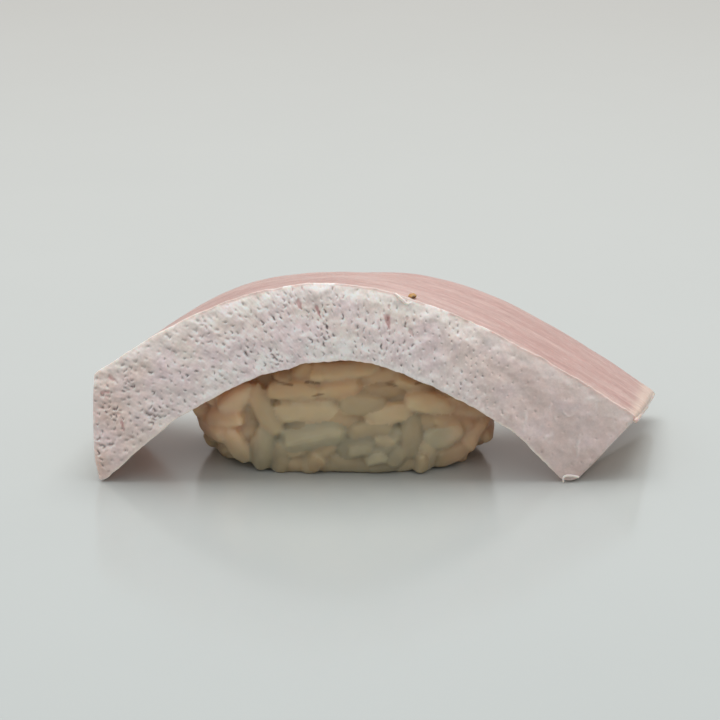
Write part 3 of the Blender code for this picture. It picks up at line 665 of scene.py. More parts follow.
def lay_slice(draw):
    """The slice's points, their colours, and their places on the top: along, across, how much on it."""
    shares = np.linspace(0, 1, LENGTH_STEPS + 1)
    points, sides, places = slice_grid(shares)
    normals = grid_normals(points)
    share = np.broadcast_to(shares[:, None], points.shape[:2])
    place = np.broadcast_to(places[None, :], points.shape[:2])
    front, top, back = (side_weight(sides, places, side) for side in range(3))
    height = np.where(sides[None, :] == 0, place, np.where(sides[None, :] == 0.5, 1.0, 0.0))
    across = np.where(sides[None, :] == 1, place, np.where(sides[None, :] == 1.5, 1.0, 0.0))

    on_front = np.nonzero(front > 0)[0]
    on_top = np.nonzero(top > 0)[0]
    face = points[:, on_front]
    flat = np.nonzero(sides == 0)[0]
    pores = spread_pores(draw, points[:, flat], places[flat])
    streaks = read_field(streak_field(draw), face[..., 0], face[..., 2])
    depth, dark, lit, red = dig_pits(face, pores)
    front_height = height[:, on_front]
    calm = smooth(0.0, 0.05, front_height) * smooth(1.0, 0.96, front_height)
    relief = sum(deep * noise_at(face, size, 7.0) for size, deep in FACE_BUMPS)
    relief += STREAK_RELIEF * streaks * smooth(20, 5, face[..., 0]) - depth * calm
    # the relief's slopes, which set the painted light and shade of the skin side
    step = np.linalg.norm(np.gradient(face, axis=1), axis=-1)
    slope = np.clip(-np.gradient(relief, axis=1) / np.maximum(step, 0.02), -STEEPEST, STEEPEST) * calm
    lift = np.zeros(points.shape[:2])
    lift[:, on_front] += front[on_front] * relief

    colours = np.empty((*points.shape[:2], 3))
    colours[:] = cut_colours(points, UNDER_PINK)
    colours = toned(colours, PINK, np.broadcast_to(0.7 * back[None, :], share.shape))
    top_tone, top_streaks = top_colours(points[:, on_top], share[:, on_top], across[:, on_top])
    swell = TOP_RELIEF * noise_at(points[:, on_top], 4.0, 1.0)
    lift[:, on_top] += top[on_top] * (TOP_STREAK_RELIEF * top_streaks + swell)
    on_it = np.broadcast_to(top[on_top], top_streaks.shape)
    colours[:, on_top] = blend(colours[:, on_top], top_tone, on_it)
    face_tone = face_colours(face, front_height, streaks, slope, dark * calm, lit * calm, red * calm)
    on_it = np.broadcast_to(front[on_front], streaks.shape)
    colours[:, on_front] = blend(colours[:, on_front], face_tone, on_it)

    colours = edge_colours(colours, points, sides, front, top, height, across)
    near_end = smooth(0.975, 0.99, share) + smooth(0.011, 0.004, share)
    near_end = near_end * (1 - front - top * smooth(0.5, 0.9, share))
    colours = toned(colours, END_CREAM, near_end)
    on_it = np.broadcast_to(top[None, :], share.shape)
    run = np.stack([share * FIBRE_RUN, across * SLICE_WIDTH, on_it], -1)
    points = round_cuts(points + normals * lift[..., None], normals)
    return press_flat(points), colours, run


def bent_plane(points):
    """What X may depend on across a cut end: Y, Z and their product."""
    y, z = points[:, 1], points[:, 2]
    return np.stack([np.ones(len(points)), y, z, y * z], -1)


def end_rings(ring, colours, outward, tone):
    """Smaller and smaller rings that close an end: the smooth face through its rim, with soft relief."""
    middle = (ring.min(0) + ring.max(0)) / 2
    fit = np.linalg.lstsq(bent_plane(ring), ring[:, 0], rcond=None)[0]
    rows = []
    for size in (*END_RINGS, 0):
        rim = eased(ring, ring, RIM_EASE + MIDDLE_EASE * (1 - size))
        row = middle + (rim - middle) * size
        row[:, 0] = bent_plane(row) @ fit
        rows.append(row + np.outer(END_RELIEF * (1 - size**4) * noise_at(row, 1.8, 3.0), outward))
    rows[-1] = rows[-1][:1]
    tones = [cut_colours(row, tone, 0.2) for row in rows]
    tones[0] = 0.5 * tones[0] + 0.5 * colours
    return rows, tones


def ring_faces(first, second, count):
    """Quads between two rings that start at these numbers."""
    i = np.arange(count)
    j = (i + 1) % count
    return np.stack([first + i, first + j, second + j, second + i], -1).tolist()


def make_slice(draw):
    points, colours, run = lay_slice(draw)
    columns, count = points.shape[:2]
    all_points = [points.reshape(-1, 3)]
    all_colours = [colours.reshape(-1, 3)]
    all_runs = [run.reshape(-1, 3)]
    faces = []
    for column in range(columns - 1):
        faces += ring_faces(column * count, (column + 1) * count, count)
    total = columns * count
    for end, step in ((0, 1), (columns - 1, -1)):
        outward = unit(points[end].mean(0) - points[end + step].mean(0))
        rows, tones = end_rings(points[end], colours[end], outward, CREAM if end == 0 else END_CREAM)
        start = end * count
        for row in range(len(END_RINGS)):
            between = ring_faces(start, total + row * count, count)
            faces += between if step < 0 else [face[::-1] for face in between]
            start = total + row * count
        tip = total + len(END_RINGS) * count
        for i in range(count):
            j = (i + 1) % count
            faces.append((start + i, start + j, tip) if step < 0 else (start + j, start + i, tip))
        all_points += rows
        all_colours += tones
        all_runs.append(np.zeros((sum(len(row) for row in rows), 3)))
        total = tip + 1
    piece = new_piece("fish_flesh", press_flat(np.concatenate(all_points)), faces, flesh_material(),
                      np.concatenate(all_colours))
    along = piece.data.attributes.new("run", "FLOAT_VECTOR", "POINT")
    along.data.foreach_set("vector", np.concatenate(all_runs).astype(np.float32).ravel())
    return piece


def add_object(name, data):
    made = bpy.data.objects.new(name, data)
    bpy.context.scene.collection.objects.link(made)
    return made


def new_piece(name, points, faces, surface, colours=None):
    """A smooth mesh from points in millimetres, with a colour at each point."""
    data = bpy.data.meshes.new(name)
    data.from_pydata(((points - ORIGIN) * MM).tolist(), [], faces)
    if colours is not None:
        tones = data.attributes.new("tone", "FLOAT_COLOR", "POINT")
        full = np.concatenate([np.clip(colours, 0, 1), np.ones((len(colours), 1))], 1)
        tones.data.foreach_set("color", full.astype(np.float32).ravel())
    data.materials.append(surface)
    data.shade_smooth()
    data.update()
    return add_object(name, data)


# ---- the rice ----


def underside_edges():
    """The slice's two lower long edges as rows of (x, z), front and back."""
    corners = section_corners(np.linspace(0, 1, EDGE_SAMPLES))
    return corners[0][:, [0, 2]], corners[3][:, [0, 2]]


def roof_height(edges, x, y):
    """Height of the slice's underside, ruled straight from its front edge to its back one."""
    front, back = edges
    front_z = np.interp(x, front[:, 0], front[:, 1])
    back_z = np.interp(x, back[:, 0], back[:, 1])
    return front_z + (back_z - front_z) * np.clip(y / SLICE_WIDTH, 0, 1)


def ball_sizes(height, inset=0.0):
    """Half length and half depth of the ball at a height, drawn in by inset."""
    half_x, half_y, half_z = (size - inset for size in BALL_HALF_SIZE)
    lift = np.clip(np.abs(height - BALL_CENTRE[2]) / half_z, 0, POLE_LIMIT)
    half_x = half_x * (1 - lift**END_POWER) ** (1 / END_POWER)
    return half_x, half_y * (1 - lift**SIDE_POWER) ** (1 / SIDE_POWER)


def ball_level(points):
    """1 on the ball's outline, less inside it."""
    half_x, half_y = ball_sizes(points[..., 2])
    across = np.abs((points[..., 0] - BALL_CENTRE[0]) / half_x) ** PLAN_POWER
    deep = np.abs((points[..., 1] - BALL_CENTRE[1]) / half_y) ** PLAN_POWER
    return (across + deep + 1e-9) ** (1 / PLAN_POWER)


def ball_distance(points):
    """Distance outside the ball's outline, less than 0 inside it, and the outward direction."""
    level = ball_level(points)
    step = 0.05
    slope = np.stack([(ball_level(points + step * axis) - level) / step for axis in np.eye(3)], -1)
    steepness = np.maximum(np.linalg.norm(slope, axis=-1), 0.02)
    return (level - 1) / steepness, slope / steepness[..., None]


def ball_point(angle, height, inset):
    """A point of the ball's outline, drawn in by inset, at an angle in plan."""
    half_x, half_y = ball_sizes(height, inset)
    cos, sin = math.cos(angle), math.sin(angle)
    size = (abs(cos) ** PLAN_POWER + abs(sin) ** PLAN_POWER) ** (-1 / PLAN_POWER)
    return np.array((BALL_CENTRE[0] + half_x * size * cos, BALL_CENTRE[1] + half_y * size * sin, height))


def axis_on_ball(middle, turn):
    """The direction of a grain that lies along the ball's outline, turned from level."""
    outward = ball_distance(middle)[1]
    level = unit(np.cross((0, 0, 1), outward))
    return level * math.cos(turn) + np.cross(outward, level) * math.sin(turn)


def front_place(x, height, turn, proud):
    """Middle and axis of a grain of the front, just inside the ball's outline."""
    depths = np.linspace(0, BALL_CENTRE[1], DEPTH_SAMPLES)
    column = np.stack([np.full(DEPTH_SAMPLES, x), depths, np.full(DEPTH_SAMPLES, height)], -1)
    middle = column[np.argmax(ball_distance(column)[0] < proud - 0.5 * GRAIN_WIDTH)]
    return middle, axis_on_ball(middle, math.radians(turn))


def shown_grains():
    """Middles, axes and lengths of the grains of the front that show best."""
    return [(*front_place(x, height, turn, proud), length)
            for x, height, turn, length, proud in SHOWN_GRAINS]


def size_factor(draw):
    return 1 + GRAIN_SIZE_SPREAD * draw.uniform(-1, 1)


def outer_grains(draw, placed):
    """The rest of the outermost layer, evenly spread round the ball's sides."""
    rows = []
    places = [middle for middle, _, _ in placed]
    top = BALL_CENTRE[2] + OUTER_TOP_SHARE * BALL_HALF_SIZE[2]
    for _ in range(OUTER_GRAINS):
        tries = [
            ball_point(draw.uniform(-math.pi, math.pi), draw.uniform(LOWEST_OUTER, top), 0.5 * GRAIN_WIDTH)
            for _ in range(TRIES_PER_GRAIN)
        ]
        room = [np.linalg.norm(np.array(places) - place, axis=1).min() for place in tries]
        middle = tries[int(np.argmax(room))]
        places.append(middle)
        turn = math.radians(draw.normal(0, OUTER_TURN))
        rows.append((middle, axis_on_ball(middle, turn), GRAIN_LENGTH * size_factor(draw)))
    return rows


def inner_grains(draw):
    """Grains anywhere in the ball, at any turn."""
    spread = draw.uniform(-1, 1, (INNER_GRAINS, 3)) * BALL_HALF_SIZE * INNER_SPREAD + BALL_CENTRE
    return [(middle, unit(draw.normal(size=3)), GRAIN_LENGTH * size_factor(draw)) for middle in spread]


def nearest_on_axes(middles, axes, halves, first, second):
    """For pairs of grains, how far along each axis the two come nearest."""
    gap = middles[second] - middles[first]
    cross = np.sum(axes[first] * axes[second], -1)
    on_first = np.sum(axes[first] * gap, -1)
    on_second = np.sum(axes[second] * gap, -1)
    along_first = (on_first - cross * on_second) / np.maximum(1 - cross**2, 1e-3)
    along_first = np.clip(along_first, -halves[first], halves[first])
    along_second = np.clip(cross * along_first - on_second, -halves[second], halves[second])
    along_first = np.clip(cross * along_second + on_first, -halves[first], halves[first])
    return along_first, along_second


def settle(middles, axes, lengths, widths):
    """Pushes grains apart, inside the ball, under the slice and off the floor, until they fit."""
    halves = (lengths - widths) / 2
    everyone = np.arange(len(middles))
    first, second = np.triu_indices(len(middles), 1)
    held = (everyone < len(SHOWN_GRAINS))[:, None]
    outward = ball_distance(middles)[1]
    start = middles.copy()
    edges = underside_edges()
    for _ in range(SETTLING_STEPS):
        move = OUTWARD_PRESS * ball_distance(middles)[1]
        twist = np.zeros_like(middles)

        def push(which, along, by):
            np.add.at(move, which, by)
            np.add.at(twist, which, by * (along / halves[which] ** 2)[:, None])

        at_first, at_second = nearest_on_axes(middles, axes, halves, first, second)
        near_first = middles[first] + axes[first] * at_first[:, None]
        near_second = middles[second] + axes[second] * at_second[:, None]
        gap = near_second - near_first
        distance = np.linalg.norm(gap, axis=-1)
        thick_first = widths[first] * (1 - GRAIN_TAPER * (at_first / halves[first]) ** 2)
        thick_second = widths[second] * (1 - GRAIN_TAPER * (at_second / halves[second]) ** 2)
        lap = GRAIN_SQUEEZE * (thick_first + thick_second) / 2 - distance
        close = lap > 0
        by = gap[close] * (LAP_PUSH * lap[close] / np.maximum(distance[close], LEAST_DISTANCE))[:, None]
        push(first[close], at_first[close], -by)
        push(second[close], at_second[close], by)
        for end in (-1.0, 0.0, 1.0):
            along = end * halves
            thick = widths / 2 * (1 - GRAIN_TAPER * end**2)
            place = middles + axes * along[:, None]
            outside, direction = ball_distance(place)
            push(everyone, along, -direction * np.maximum(outside + thick, 0)[:, None] * BOUND_PUSH)
            roof = roof_height(edges, place[:, 0], place[:, 1])
            high = np.maximum(place[:, 2] + thick + FISH_GAP - roof, 0)
            low = np.maximum(thick + FLOOR_GAP - place[:, 2], 0)
            push(everyone, along, np.outer(low - high, (0, 0, BOUND_PUSH)))
        slide = np.sum((middles + move - start) * outward, -1)
        slide = np.clip(slide, -SHOWN_SLIDE, SHOWN_SLIDE)
        middles = np.where(held, start + outward * slide[:, None], middles + move)
        axes = np.where(held, axes, unit(axes + TWIST_SHARE * twist))
    return middles, axes


def pack_grains():
    """Every grain of the ball: middles, axes, lengths and widths, those of the front first."""
    draw = np.random.default_rng(RICE_SEED)
    rows = shown_grains()
    rows += outer_grains(draw, rows)
    rows += inner_grains(draw)
    middles, axes, lengths = (np.array(column) for column in zip(*rows))
    widths = np.array([GRAIN_WIDTH * size_factor(draw) for _ in rows])
    middles, axes = settle(middles, axes, lengths, widths)
    return middles, axes, lengths, widths


def grain_shape(draw, length, width, seed, power=None):
    """Points of one cooked grain about its own middle: X along it, Z outwards."""
    turns = np.arange(GRAIN_SIDES) * 2 * math.pi / GRAIN_SIDES
    places = -np.cos(math.pi * np.arange(1, GRAIN_RINGS) / GRAIN_RINGS)
    lean = 0.14 * draw.uniform(-1, 1)
    bend = 0.3 * draw.uniform(-1, 1)
    sway = 0.4 * draw.uniform(-1, 1)
    power = power or draw.uniform(2.3, 3.4)
    facets = draw.uniform(2.2, 3.6)
    facet_turn = draw.uniform(0, math.pi)
    notch_turn = draw.uniform(0, 2 * math.pi)
    notch = draw.uniform(0.05, 0.22)
    radius = (1 - np.abs(places) ** power) ** (1 / power) * (1 + lean * places)
    dent = np.exp(-(((places - 0.72) / 0.2) ** 2))[:, None]
    dent = 1 - notch * dent * np.clip(np.cos(turns - notch_turn), 0, 1) ** 2
    cos, sin = np.abs(np.cos(turns - facet_turn)), np.abs(np.sin(turns - facet_turn))
    radius = radius[:, None] * dent * (cos**facets + sin**facets) ** (-1 / facets) * width / 2
    x = np.broadcast_to(places[:, None] * length / 2, radius.shape)
    y = radius * np.cos(turns) + sway * (places**2 - 0.4)[:, None]
    z = radius * np.sin(turns) * GRAIN_FLATNESS + bend * (places**2 - 0.4)[:, None]
    ends = np.array(((-length / 2, 0.6 * sway, 0.6 * bend), (length / 2, 0.6 * sway, 0.6 * bend)))
    body = np.stack([x, y, z], -1).reshape(-1, 3)
    shape = np.concatenate([ends[:1], body, ends[1:]])
    lumps = 0.14 * noise_at(shape, 2.2, seed) + 0.04 * noise_at(shape, 0.9, seed)
    return shape * (1 + lumps)[:, None]


def ball_faces(start, sides, rings):
    """Faces of a tip, a number of rings and a second tip, numbered from start."""
    faces = []
    first = start + 1
    last = first + sides * rings
    for ring in range(rings - 1):
        faces += ring_faces(first + ring * sides, first + (ring + 1) * sides, sides)
    for i in range(sides):
        j = (i + 1) % sides
        faces.append((start, first + j, first + i))
        faces.append((last, last - sides + i, last - sides + j))
    return faces


def whiteness(place):
    """How white a grain is: most in a few places of the front."""
    spots = [most * math.exp(-((place[0] - x) / wide) ** 2 - ((place[2] - high) / tall) ** 2)
             for x, high, wide, tall, most in WHITE_PLACES]
    return max(spots) if place[1] < BALL_CENTRE[1] else 0.2


def bit_rows():
    """The broken grains of the front: middle, axis, length and width."""
    return [(*front_place(x, height, turn, proud), length, width)
            for x, height, turn, length, width, proud in BITS]


def place_grains():
    """The grains that show, swollen, and cut off where the slice and the floor meet them."""
    middles, axes, lengths, widths = pack_grains()
    distances, outwards = ball_distance(middles)
    shown = np.arange(len(middles)) < len(SHOWN_GRAINS)
    behind = np.where(shown, 0.0, BACK_STEP * smooth(-0.5, -0.8, outwards[:, 1]))
    middles = middles - outwards * behind[:, None]
    for grain, (wider, outer) in BOLD_GRAINS.items():
        widths[grain] *= wider
        middles[grain] += outer * outwards[grain]
    rows = [row for row, distance in zip(zip(middles, axes, lengths, widths), distances)
            if -distance <= SURFACE_DEPTH]
    edges = underside_edges()
    draw = np.random.default_rng(RICE_SEED + 1)
    points, faces, grains = [], [], []
    count = 0
    for number, (middle, axis, length, width) in enumerate(rows + bit_rows()):
        power = BIT_POWER if number >= len(rows) else None
        shape = grain_shape(draw, length + 2 * RICE_SWELL, width + 2 * RICE_SWELL, 10.0 * number, power)
        tint = (*draw.uniform(-1, 1, 2), whiteness(middle))
        side = unit(np.cross(ball_distance(middle)[1], axis))
        up = np.cross(axis, side)
        placed = middle + shape @ np.array((axis, side, up))
        roof = roof_height(edges, placed[:, 0], placed[:, 1]) - ROOF_GAP + RICE_SWELL
        placed[:, 2] = np.clip(np.minimum(placed[:, 2], roof), FOOT_GAP - RICE_SWELL, None)
        points.append(placed)
        faces += ball_faces(count, GRAIN_SIDES, GRAIN_RINGS - 1)
        count += len(placed)
        grains.append((middle, axis, length, width, tint))
    return points, faces, grains


def core_mesh(start):
    """The sticky inside of the rice, which shows only in the gaps between grains."""
    rings, columns = CORE_RINGS, CORE_COLUMNS
    top = BALL_CENTRE[2] + BALL_HALF_SIZE[2] - CORE_INSET
    edges = underside_edges()
    points = []
    for i in range(rings + 1):
        height = top * math.sin(0.5 * math.pi * i / (rings + 0.4)) + FOOT_GAP
        for j in range(columns):
            point = ball_point(2 * math.pi * j / columns, height, CORE_INSET - RICE_SWELL + (i == 0))
            point[2] = min(point[2], roof_height(edges, point[0], point[1]) - 2 * ROOF_GAP)
            points.append(point)
    points.append(np.mean(points[-columns:], 0))
    faces = [tuple(reversed(range(start, start + columns)))]
    for i in range(rings):
        faces += ring_faces(start + i * columns, start + (i + 1) * columns, columns)
    last = start + rings * columns
    tip = start + len(points) - 1
    faces += [(last + j, last + (j + 1) % columns, tip) for j in range(columns)]
    return np.array(points), faces


def stick_together(points, faces):
    """One skin over meshes that lap: their voxel union, softened, then drawn in by the swelling."""
    data = bpy.data.meshes.new("loose")
    data.from_pydata(points.tolist(), [], faces)
    loose = add_object("loose", data)
    remesh = loose.modifiers.new("stick", "REMESH")
    remesh.mode = "VOXEL"
    remesh.voxel_size = RICE_VOXEL
    soften = loose.modifiers.new("soften", "SMOOTH")
    soften.iterations = 1
    soften.factor = SOFTENING
    graph = bpy.context.evaluated_depsgraph_get()
    skin = bpy.data.meshes.new_from_object(loose.evaluated_get(graph))
    bpy.data.objects.remove(loose)
    mesh = bmesh.new()
    mesh.from_mesh(skin)
    bpy.data.meshes.remove(skin)
    drop_inner_shells(mesh)
    mesh.normal_update()
    for vert in mesh.verts:
        vert.co -= vert.normal * RICE_SWELL
    stuck = np.array([vert.co for vert in mesh.verts])
    mesh.verts.index_update()
    stuck_faces = [[vert.index for vert in face.verts] for face in mesh.faces]
    mesh.free()
    roof = roof_height(underside_edges(), stuck[:, 0], stuck[:, 1]) - ROOF_GAP
    stuck[:, 2] = np.clip(np.minimum(stuck[:, 2], roof), FOOT_GAP, None)
    return stuck, stuck_faces


def drop_inner_shells(mesh):
    """Keeps the largest connected shell alone."""
    waiting = set(mesh.faces)
    shells = []
    while waiting:
        border = [waiting.pop()]
        shell = list(border)
        while border:
            for edge in border.pop().edges:
                for other in edge.link_faces:
                    if other in waiting:
                        waiting.discard(other)
                        border.append(other)
                        shell.append(other)
        shells.append(shell)
    shells.sort(key=len)
    bmesh.ops.delete(mesh, geom=[face for shell in shells[:-1] for face in shell], context="FACES")
    loose = [vert for vert in mesh.verts if not vert.link_faces]
    bmesh.ops.delete(mesh, geom=loose, context="VERTS")


def rice_colours(points, grains):
    """Each grain's own tint, with painted shade and bounce light: browner in the gaps between grains and
    under the slice, darker near the floor, warmer on the flanks.
    """
    nearest = np.full(len(points), 99.0)
    tints = np.zeros((len(points), 3))
    for middle, axis, length, width, tint in grains:
        away = points - middle
        half = max(length - width, 0.2) / 2
        along = np.clip(away @ axis, -half, half)
        gap = np.linalg.norm(away - along[:, None] * axis, axis=1) - width / 2
        closer = gap < nearest
        tints[closer] = tint
        nearest = np.minimum(nearest, gap)
    # painted shade between grains: browner where a point lies away from every grain's body
    deep = smooth(0.1, 0.9, nearest)
    cloud = noise_at(points, 2.6, 3.0)
    roof = roof_height(underside_edges(), points[:, 0], points[:, 1])
    # painted shade: the rice turns honey-brown and less white towards the slice's underside
    shade = smooth(9.0, 0.5, roof - points[:, 2])
    honey = 0.1 + 0.75 * shade + 0.25 * tints[:, 1] + 0.2 * cloud
    colour = toned(linear(RICE_IVORY), RICE_HONEY_AND_SHADE, honey)
    colour = toned(colour, RICE_WHITE, tints[:, 2] * (1 - 0.6 * shade))
    # painted shade: darker near the floor and just under the slice
    low = smooth(7.0, 1.0, points[:, 2])
    roof_shade = smooth(3.0, 1.0, roof - points[:, 2])
    colour = colour * (1 + 0.16 * tints[:, :1]) * (1 - 0.16 * low - 0.1 * roof_shade)[:, None]
    # painted reflection: warm pink bounce light from the fish on the rice's two flanks
    flank_bounce = smooth(-13.0, -17.5, points[:, 0]) * smooth(2.0, 6.0, points[:, 2])
    flank_bounce = flank_bounce + 0.8 * smooth(10.0, 16.0, points[:, 0])
    colour = toned(colour, RICE_PEACH_BOUNCE, 0.7 * flank_bounce)
    # painted shadows along the thin gaps of the front's upper grains
    gap = np.min([gap_distance(points, *ends) for ends in GAP_SHADOWS], 0)
    return toned(colour, RICE_GAP_SHADE, np.maximum(0.25 * deep, 0.7 * smooth(0.24, 0.05, gap)))


def gap_distance(points, x0, z0, x1, z1):
    """Distance of points from a thin gap of the front, seen from the front."""
    start, along = np.array((x0, z0)), np.array((x1 - x0, z1 - z0))
    away = points[:, [0, 2]] - start
    share = np.clip(away @ along / (along @ along), 0, 1)
    return np.linalg.norm(away - share[:, None] * along, axis=1) + np.clip(points[:, 1] - 6, 0, None)


def make_rice():
    points, faces, grains = place_grains()
    core_points, core_faces = core_mesh(sum(len(part) for part in points))
    skin, skin_faces = stick_together(np.concatenate([*points, core_points]), faces + core_faces)
    return new_piece("rice_grains", skin, skin_faces, rice_material(), rice_colours(skin, grains))


# ---- small things on the slice ----


def make_tube(name, path, radii, surface):
    """A rounded strand along a path of points, with its own radius at each."""
    sides = TUBE_SIDES
    run = unit(np.gradient(path, axis=0))
    side = unit(np.cross(run, (0.3, 1.0, 0.2)))
    up = np.cross(run, side)
    turns = np.arange(sides) * 2 * math.pi / sides
    rows = []
    for point, s, u, (wide, high) in zip(path, side, up, radii):
        rows.append(point + np.outer(np.cos(turns) * wide, s) + np.outer(np.sin(turns) * high, u))
    points = np.concatenate(rows + [path[:1], path[-1:]])
    faces = []
    for i in range(len(path) - 1):
        faces += ring_faces(i * sides, (i + 1) * sides, sides)
    first, last = len(points) - 2, len(points) - 1
    start = (len(path) - 1) * sides
    for i in range(sides):
        j = (i + 1) % sides
        faces.append((first, j, i))
        faces.append((last, start + i, start + j))
    return new_piece(name, points, faces, surface)


def smooth_path(stations, count):
    """Points along a Catmull-Rom curve through stations in three dimensions."""
    return curve(stations, np.linspace(0, 1, count))


def make_extras():
    """A sliver of white fat on the upper edge, a thread at the right tip, a curl along the end, a speck."""
    fat = fat_material("white_fat", FAT_AND_HIGHLIGHT_WHITE, EDGE_CREAM)
    taper = np.sin(np.linspace(0.1, 0.95, SLIVER_STEPS) * math.pi) ** 0.6
    radii = np.outer(taper, SLIVER_RADII)
    sliver = make_tube("fat_sliver", smooth_path(SLIVER, SLIVER_STEPS), radii, fat)
    wide, high = THREAD_RADII
    radii = [(wide + 0.04 * math.sin(5 * t), high) for t in np.linspace(0, 1, THREAD_STEPS)]
    thread = make_tube("skin_thread", smooth_path(THREAD, THREAD_STEPS), radii, fat)
    _, high, back, _ = section_corners(np.array([1.0]))[:, 0]
    lip_path = high + np.outer(np.linspace(0.0, 1.0, LIP_STEPS), back - high) + LIP_SHIFT
    lip_path[:, 0] += 0.1 * noise_at(lip_path, 3.0, 5.0)
    wide = LIP_RADIUS + 0.12 * noise_at(lip_path, 2.0, 8.0)
    wide *= np.sin(np.linspace(0.06, 0.94, LIP_STEPS) * math.pi) ** 0.3
    skin = fat_material("lip_skin", LIP_CREAM, END_CREAM)
    lip = make_tube("end_lip", lip_path, [(w, w) for w in wide], skin)
    return [sliver, thread, lip, make_speck()]


def top_height(x, y):
    """Height of the slice's top face at a place."""
    corners = section_corners(np.linspace(0, 1, 200))
    front, back = (np.interp(x, corner[:, 0], corner[:, 2]) for corner in corners[1:3])
    t = (y - FACE_SETBACK) / (SLICE_WIDTH - FACE_SETBACK)
    return front + (back - front) * t + TOP_CROWN * 4 * t * (1 - t)


def make_speck():
    """A crumb of golden skin with a dark middle, on the top face near the front edge."""
    turns = np.arange(SPECK_SIDES) * 2 * math.pi / SPECK_SIDES
    points = [(0, 0, -1.0)]
    for lift in SPECK_RINGS:
        ring = math.sqrt(1 - lift**2)
        points += [(ring * math.cos(t), ring * math.sin(t), lift) for t in turns]
    points = np.array(points + [(0, 0, 1.0)])
    dark = smooth(0.75, 0.35, np.linalg.norm(points - SPECK_EYE, axis=1))
    tones = blend(np.broadcast_to(linear(SPECK_GOLD), points.shape), linear(SPECK_DARK), dark)
    points *= (1 + 0.3 * noise_at(points, 0.8, 2.0))[:, None] * SPECK_HALF_SIZE
    points += (*SPECK_PLACE, top_height(*SPECK_PLACE) + 0.6 * SPECK_HALF_SIZE[2])
    faces = ball_faces(0, SPECK_SIDES, len(SPECK_RINGS))
    return new_piece("brown_speck", points, faces, speck_material(), tones)


# ---- materials ----


class Paint:
    """A material under construction: its nodes, its shader and its coordinates."""

    def __init__(self, name):
        self.made = bpy.data.materials.new(name)
        self.made.use_nodes = True
        self.tree = self.made.node_tree
        self.shader = self.tree.nodes["Principled BSDF"]
        self.place = self.tree.nodes.new("ShaderNodeTexCoord").outputs["Object"]

    def put(self, **values):
        for name, value in values.items():
            self.shader.inputs[name.replace("_", " ")].default_value = value

    def link(self, output, target):
        self.tree.links.new(output, target)

    def drive(self, name, output):
        self.link(output, self.shader.inputs[name])

    def noise(self, size, detail=3.0, roughness=0.55, stretch=(1, 1, 1), attribute=None):
        """Noise with features of a size in millimetres, stretched, over space or an attribute."""
        mapping = self.tree.nodes.new("ShaderNodeMapping")
        unit_size = MM if attribute is None else 1.0
        mapping.inputs["Scale"].default_value = [1 / (size * unit_size * s) for s in stretch]
        mapping.inputs["Rotation"].default_value = NOISE_TURN
        place = self.attribute(attribute).outputs["Vector"] if attribute else self.place
        self.link(place, mapping.inputs["Vector"])
        node = self.tree.nodes.new("ShaderNodeTexNoise")
        node.inputs["Scale"].default_value = 1.0
        node.inputs["Detail"].default_value = detail
        node.inputs["Roughness"].default_value = roughness
        self.link(mapping.outputs["Vector"], node.inputs["Vector"])
        return node.outputs["Fac"]

    def ramp(self, value, low, high, start, end):
        """A value carried from start..end at low..high."""
        node = self.tree.nodes.new("ShaderNodeMapRange")
        for name, number in zip(("From Min", "From Max", "To Min", "To Max"), (low, high, start, end)):
            node.inputs[name].default_value = number
        self.link(value, node.inputs["Value"])
        return node.outputs["Result"]

    def mix(self, first, second, amount, kind="MIX"):
        node = self.tree.nodes.new("ShaderNodeMix")
        node.data_type = "RGBA"
        node.blend_type = kind
        for value, socket in ((first, node.inputs[6]), (second, node.inputs[7]), (amount, node.inputs[0])):
            if isinstance(value, bpy.types.NodeSocket):
                self.link(value, socket)
            else:
                socket.default_value = value
        return node.outputs[2]

    def attribute(self, name):
        node = self.tree.nodes.new("ShaderNodeAttribute")
        node.attribute_name = name
        return node

    def tone(self):
        return self.attribute("tone").outputs["Color"]

    def part_of(self, name, axis):
        """One axis of a vector attribute."""
        node = self.tree.nodes.new("ShaderNodeSeparateXYZ")
        self.link(self.attribute(name).outputs["Vector"], node.inputs[0])
        return node.outputs[axis]

    def product(self, first, second):
        node = self.tree.nodes.new("ShaderNodeMath")
        node.operation = "MULTIPLY"
        self.link(first, node.inputs[0])
        self.link(second, node.inputs[1])
        return node.outputs[0]

    def bump(self, heights, strength, distance):
        node = self.tree.nodes.new("ShaderNodeBump")
        node.inputs["Strength"].default_value = strength
        node.inputs["Distance"].default_value = distance * MM
        self.link(heights, node.inputs["Height"])
        self.drive("Normal", node.outputs["Normal"])


